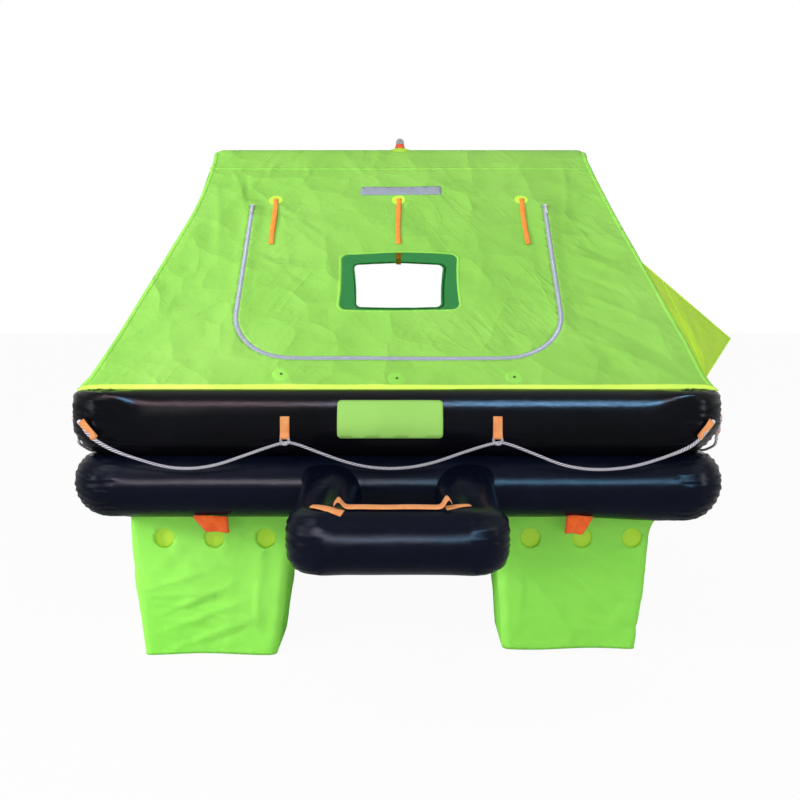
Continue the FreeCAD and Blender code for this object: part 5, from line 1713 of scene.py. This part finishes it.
# CAD pieces that keep their shape get their finish here
KEEP = {"operating_head": "brass", "bag_weights": "ballast", "inner_lamp": "lamp_grey",
        "relief_valves": "valve", "inlet_valves": "valve"}
for level in ("lower", "upper"):
    KEEP["topping_valve_" + level] = "valve"
    KEEP["valve_cap_" + level] = "valve"
for side_name in ("left", "right"):
    for end in ("front", "rear"):
        KEEP["zip_slider_" + side_name + "_" + end] = "slider"
        KEEP["zip_pull_" + side_name + "_" + end] = "slider"
for node, key in KEEP.items():
    obj = frame["nodes"][node]
    for s in obj.material_slots:
        s.material = MATS[key]

# ---- stage and light ----
stage_z = cad_box[0][2] - 0.014
mesh = bpy.data.meshes.new("stage_floor")
s = 30.0
mesh.from_pydata([(-s, -s, stage_z), (s, -s, stage_z), (s, s, stage_z), (-s, s, stage_z)], [], [(0, 1, 2, 3)])
stage = bpy.data.objects.new("stage_floor", mesh)
bpy.context.scene.collection.objects.link(stage)
m = bpy.data.materials.new("pale_floor")
m.use_nodes = True
nt = m.node_tree
nt.nodes.remove(nt.nodes["Principled BSDF"])
out = nt.nodes["Material Output"]
diffuse = nt.nodes.new("ShaderNodeBsdfDiffuse")
diffuse.inputs["Color"].default_value = (0.86, 0.86, 0.86, 1)
glow = nt.nodes.new("ShaderNodeEmission")
glow.inputs["Strength"].default_value = 1.0
path = nt.nodes.new("ShaderNodeLightPath")
mixer = nt.nodes.new("ShaderNodeMixShader")
seen_share = nt.nodes.new("ShaderNodeMath")
seen_share.operation = "MULTIPLY"
seen_share.inputs[1].default_value = 0.95
nt.links.new(path.outputs["Is Camera Ray"], seen_share.inputs[0])
nt.links.new(seen_share.outputs[0], mixer.inputs[0])
nt.links.new(diffuse.outputs[0], mixer.inputs[1])
nt.links.new(glow.outputs[0], mixer.inputs[2])
nt.links.new(mixer.outputs[0], out.inputs["Surface"])
mesh.materials.append(m)

world = bpy.data.worlds.new("studio")
bpy.context.scene.world = world
world.use_nodes = True
nt = world.node_tree
back = nt.nodes["Background"]
path = nt.nodes.new("ShaderNodeLightPath")
seen = nt.nodes.new("ShaderNodeMath")
seen.operation = "MAXIMUM"
nt.links.new(path.outputs["Is Camera Ray"], seen.inputs[0])
nt.links.new(path.outputs["Is Transmission Ray"], seen.inputs[1])
seen2 = nt.nodes.new("ShaderNodeMath")
seen2.operation = "MAXIMUM"
nt.links.new(seen.outputs[0], seen2.inputs[0])
nt.links.new(path.outputs["Is Glossy Ray"], seen2.inputs[1])
level = nt.nodes.new("ShaderNodeMapRange")
level.inputs[3].default_value = 0.42
level.inputs[4].default_value = 1.0
nt.links.new(seen2.outputs[0], level.inputs[0])
nt.links.new(level.outputs[0], back.inputs["Strength"])
back.inputs["Color"].default_value = (1, 1, 1, 1)


def area_light(name, at, target, size, power, colour=(1, 1, 1), gloss=None, on=None):
    """gloss True lights only highlights, False everything but them; on names what it lights."""
    data = bpy.data.lights.new(name, "AREA")
    data.shape = "RECTANGLE"
    data.size, data.size_y = size
    data.energy = power
    data.color = colour
    light = bpy.data.objects.new(name, data)
    light.location = at
    light.rotation_euler = (Vector(target) - Vector(at)).to_track_quat("-Z", "Y").to_euler()
    bpy.context.scene.collection.objects.link(light)
    light.visible_camera = False
    if gloss is True:
        light.visible_diffuse = False
        light.visible_transmission = False
    if gloss is False:
        light.visible_glossy = False
    if on:
        group = bpy.data.collections.new(name + "_on")
        for piece in on:
            group.objects.link(piece)
        light.light_linking.receiver_collection = group
    return light


area_light("key", (-2.6, -3.2, 3.4), (0, 0, 0.5), (2.2, 2.2), 88)
area_light("fill", (3.0, -2.6, 2.4), (0, 0, 0.4), (2.5, 2.5), 28)
area_light("front", (0, -7.0, 0.7), (0, 0, 0.1), (6.0, 2.6), 160, gloss=False)
# A low light across the cloth draws its folds
cloths = [piece for piece in bpy.context.scene.collection.objects
          if piece.name.startswith(("canopy_", "gable_", "hood_", "bag_", "inlet_", "ties_", "reflective_",
                                    "zip_", "snap_"))]
area_light("rake", (-5.0, -2.3, 1.5), (0, -0.5, 0.5), (0.9, 0.9), 260, gloss=False, on=cloths)
WARM, WARM_LOW = (1.0, 0.66, 0.74), (1.0, 0.86, 0.96)
COOL, COOL_LOW = (0.28, 0.60, 1.0), (0.27, 0.62, 1.0)
area_light("strip_left", (-1.12, -1.90, 3.70), (-1.12, -0.93, 0.34), (2.1, 0.16), 165, WARM, True, [upper])
area_light("strip_right", (1.12, -1.90, 3.70), (1.12, -0.93, 0.34), (2.1, 0.26), 700, COOL, True, [upper])
area_light("low_left", (-1.12, -4.25, 0.89), (-1.12, -0.95, 0.12), (2.1, 0.34), 135,
           WARM_LOW, True, [lower, ramp])
area_light("low_right", (1.12, -4.25, 0.89), (1.12, -0.95, 0.12), (2.1, 0.34), 230,
           COOL_LOW, True, [lower, ramp])
for side_name, sign in (("left", -1), ("right", 1)):
    area_light("glint_" + side_name, (sign * 3.4, -2.6, 0.7), (sign * 0.95, -0.9, 0.2), (0.5, 1.1), 36,
               (0.86, 0.92, 1.0), True, [upper, lower, ramp])

bpy.context.scene.view_settings.view_transform = "Standard"
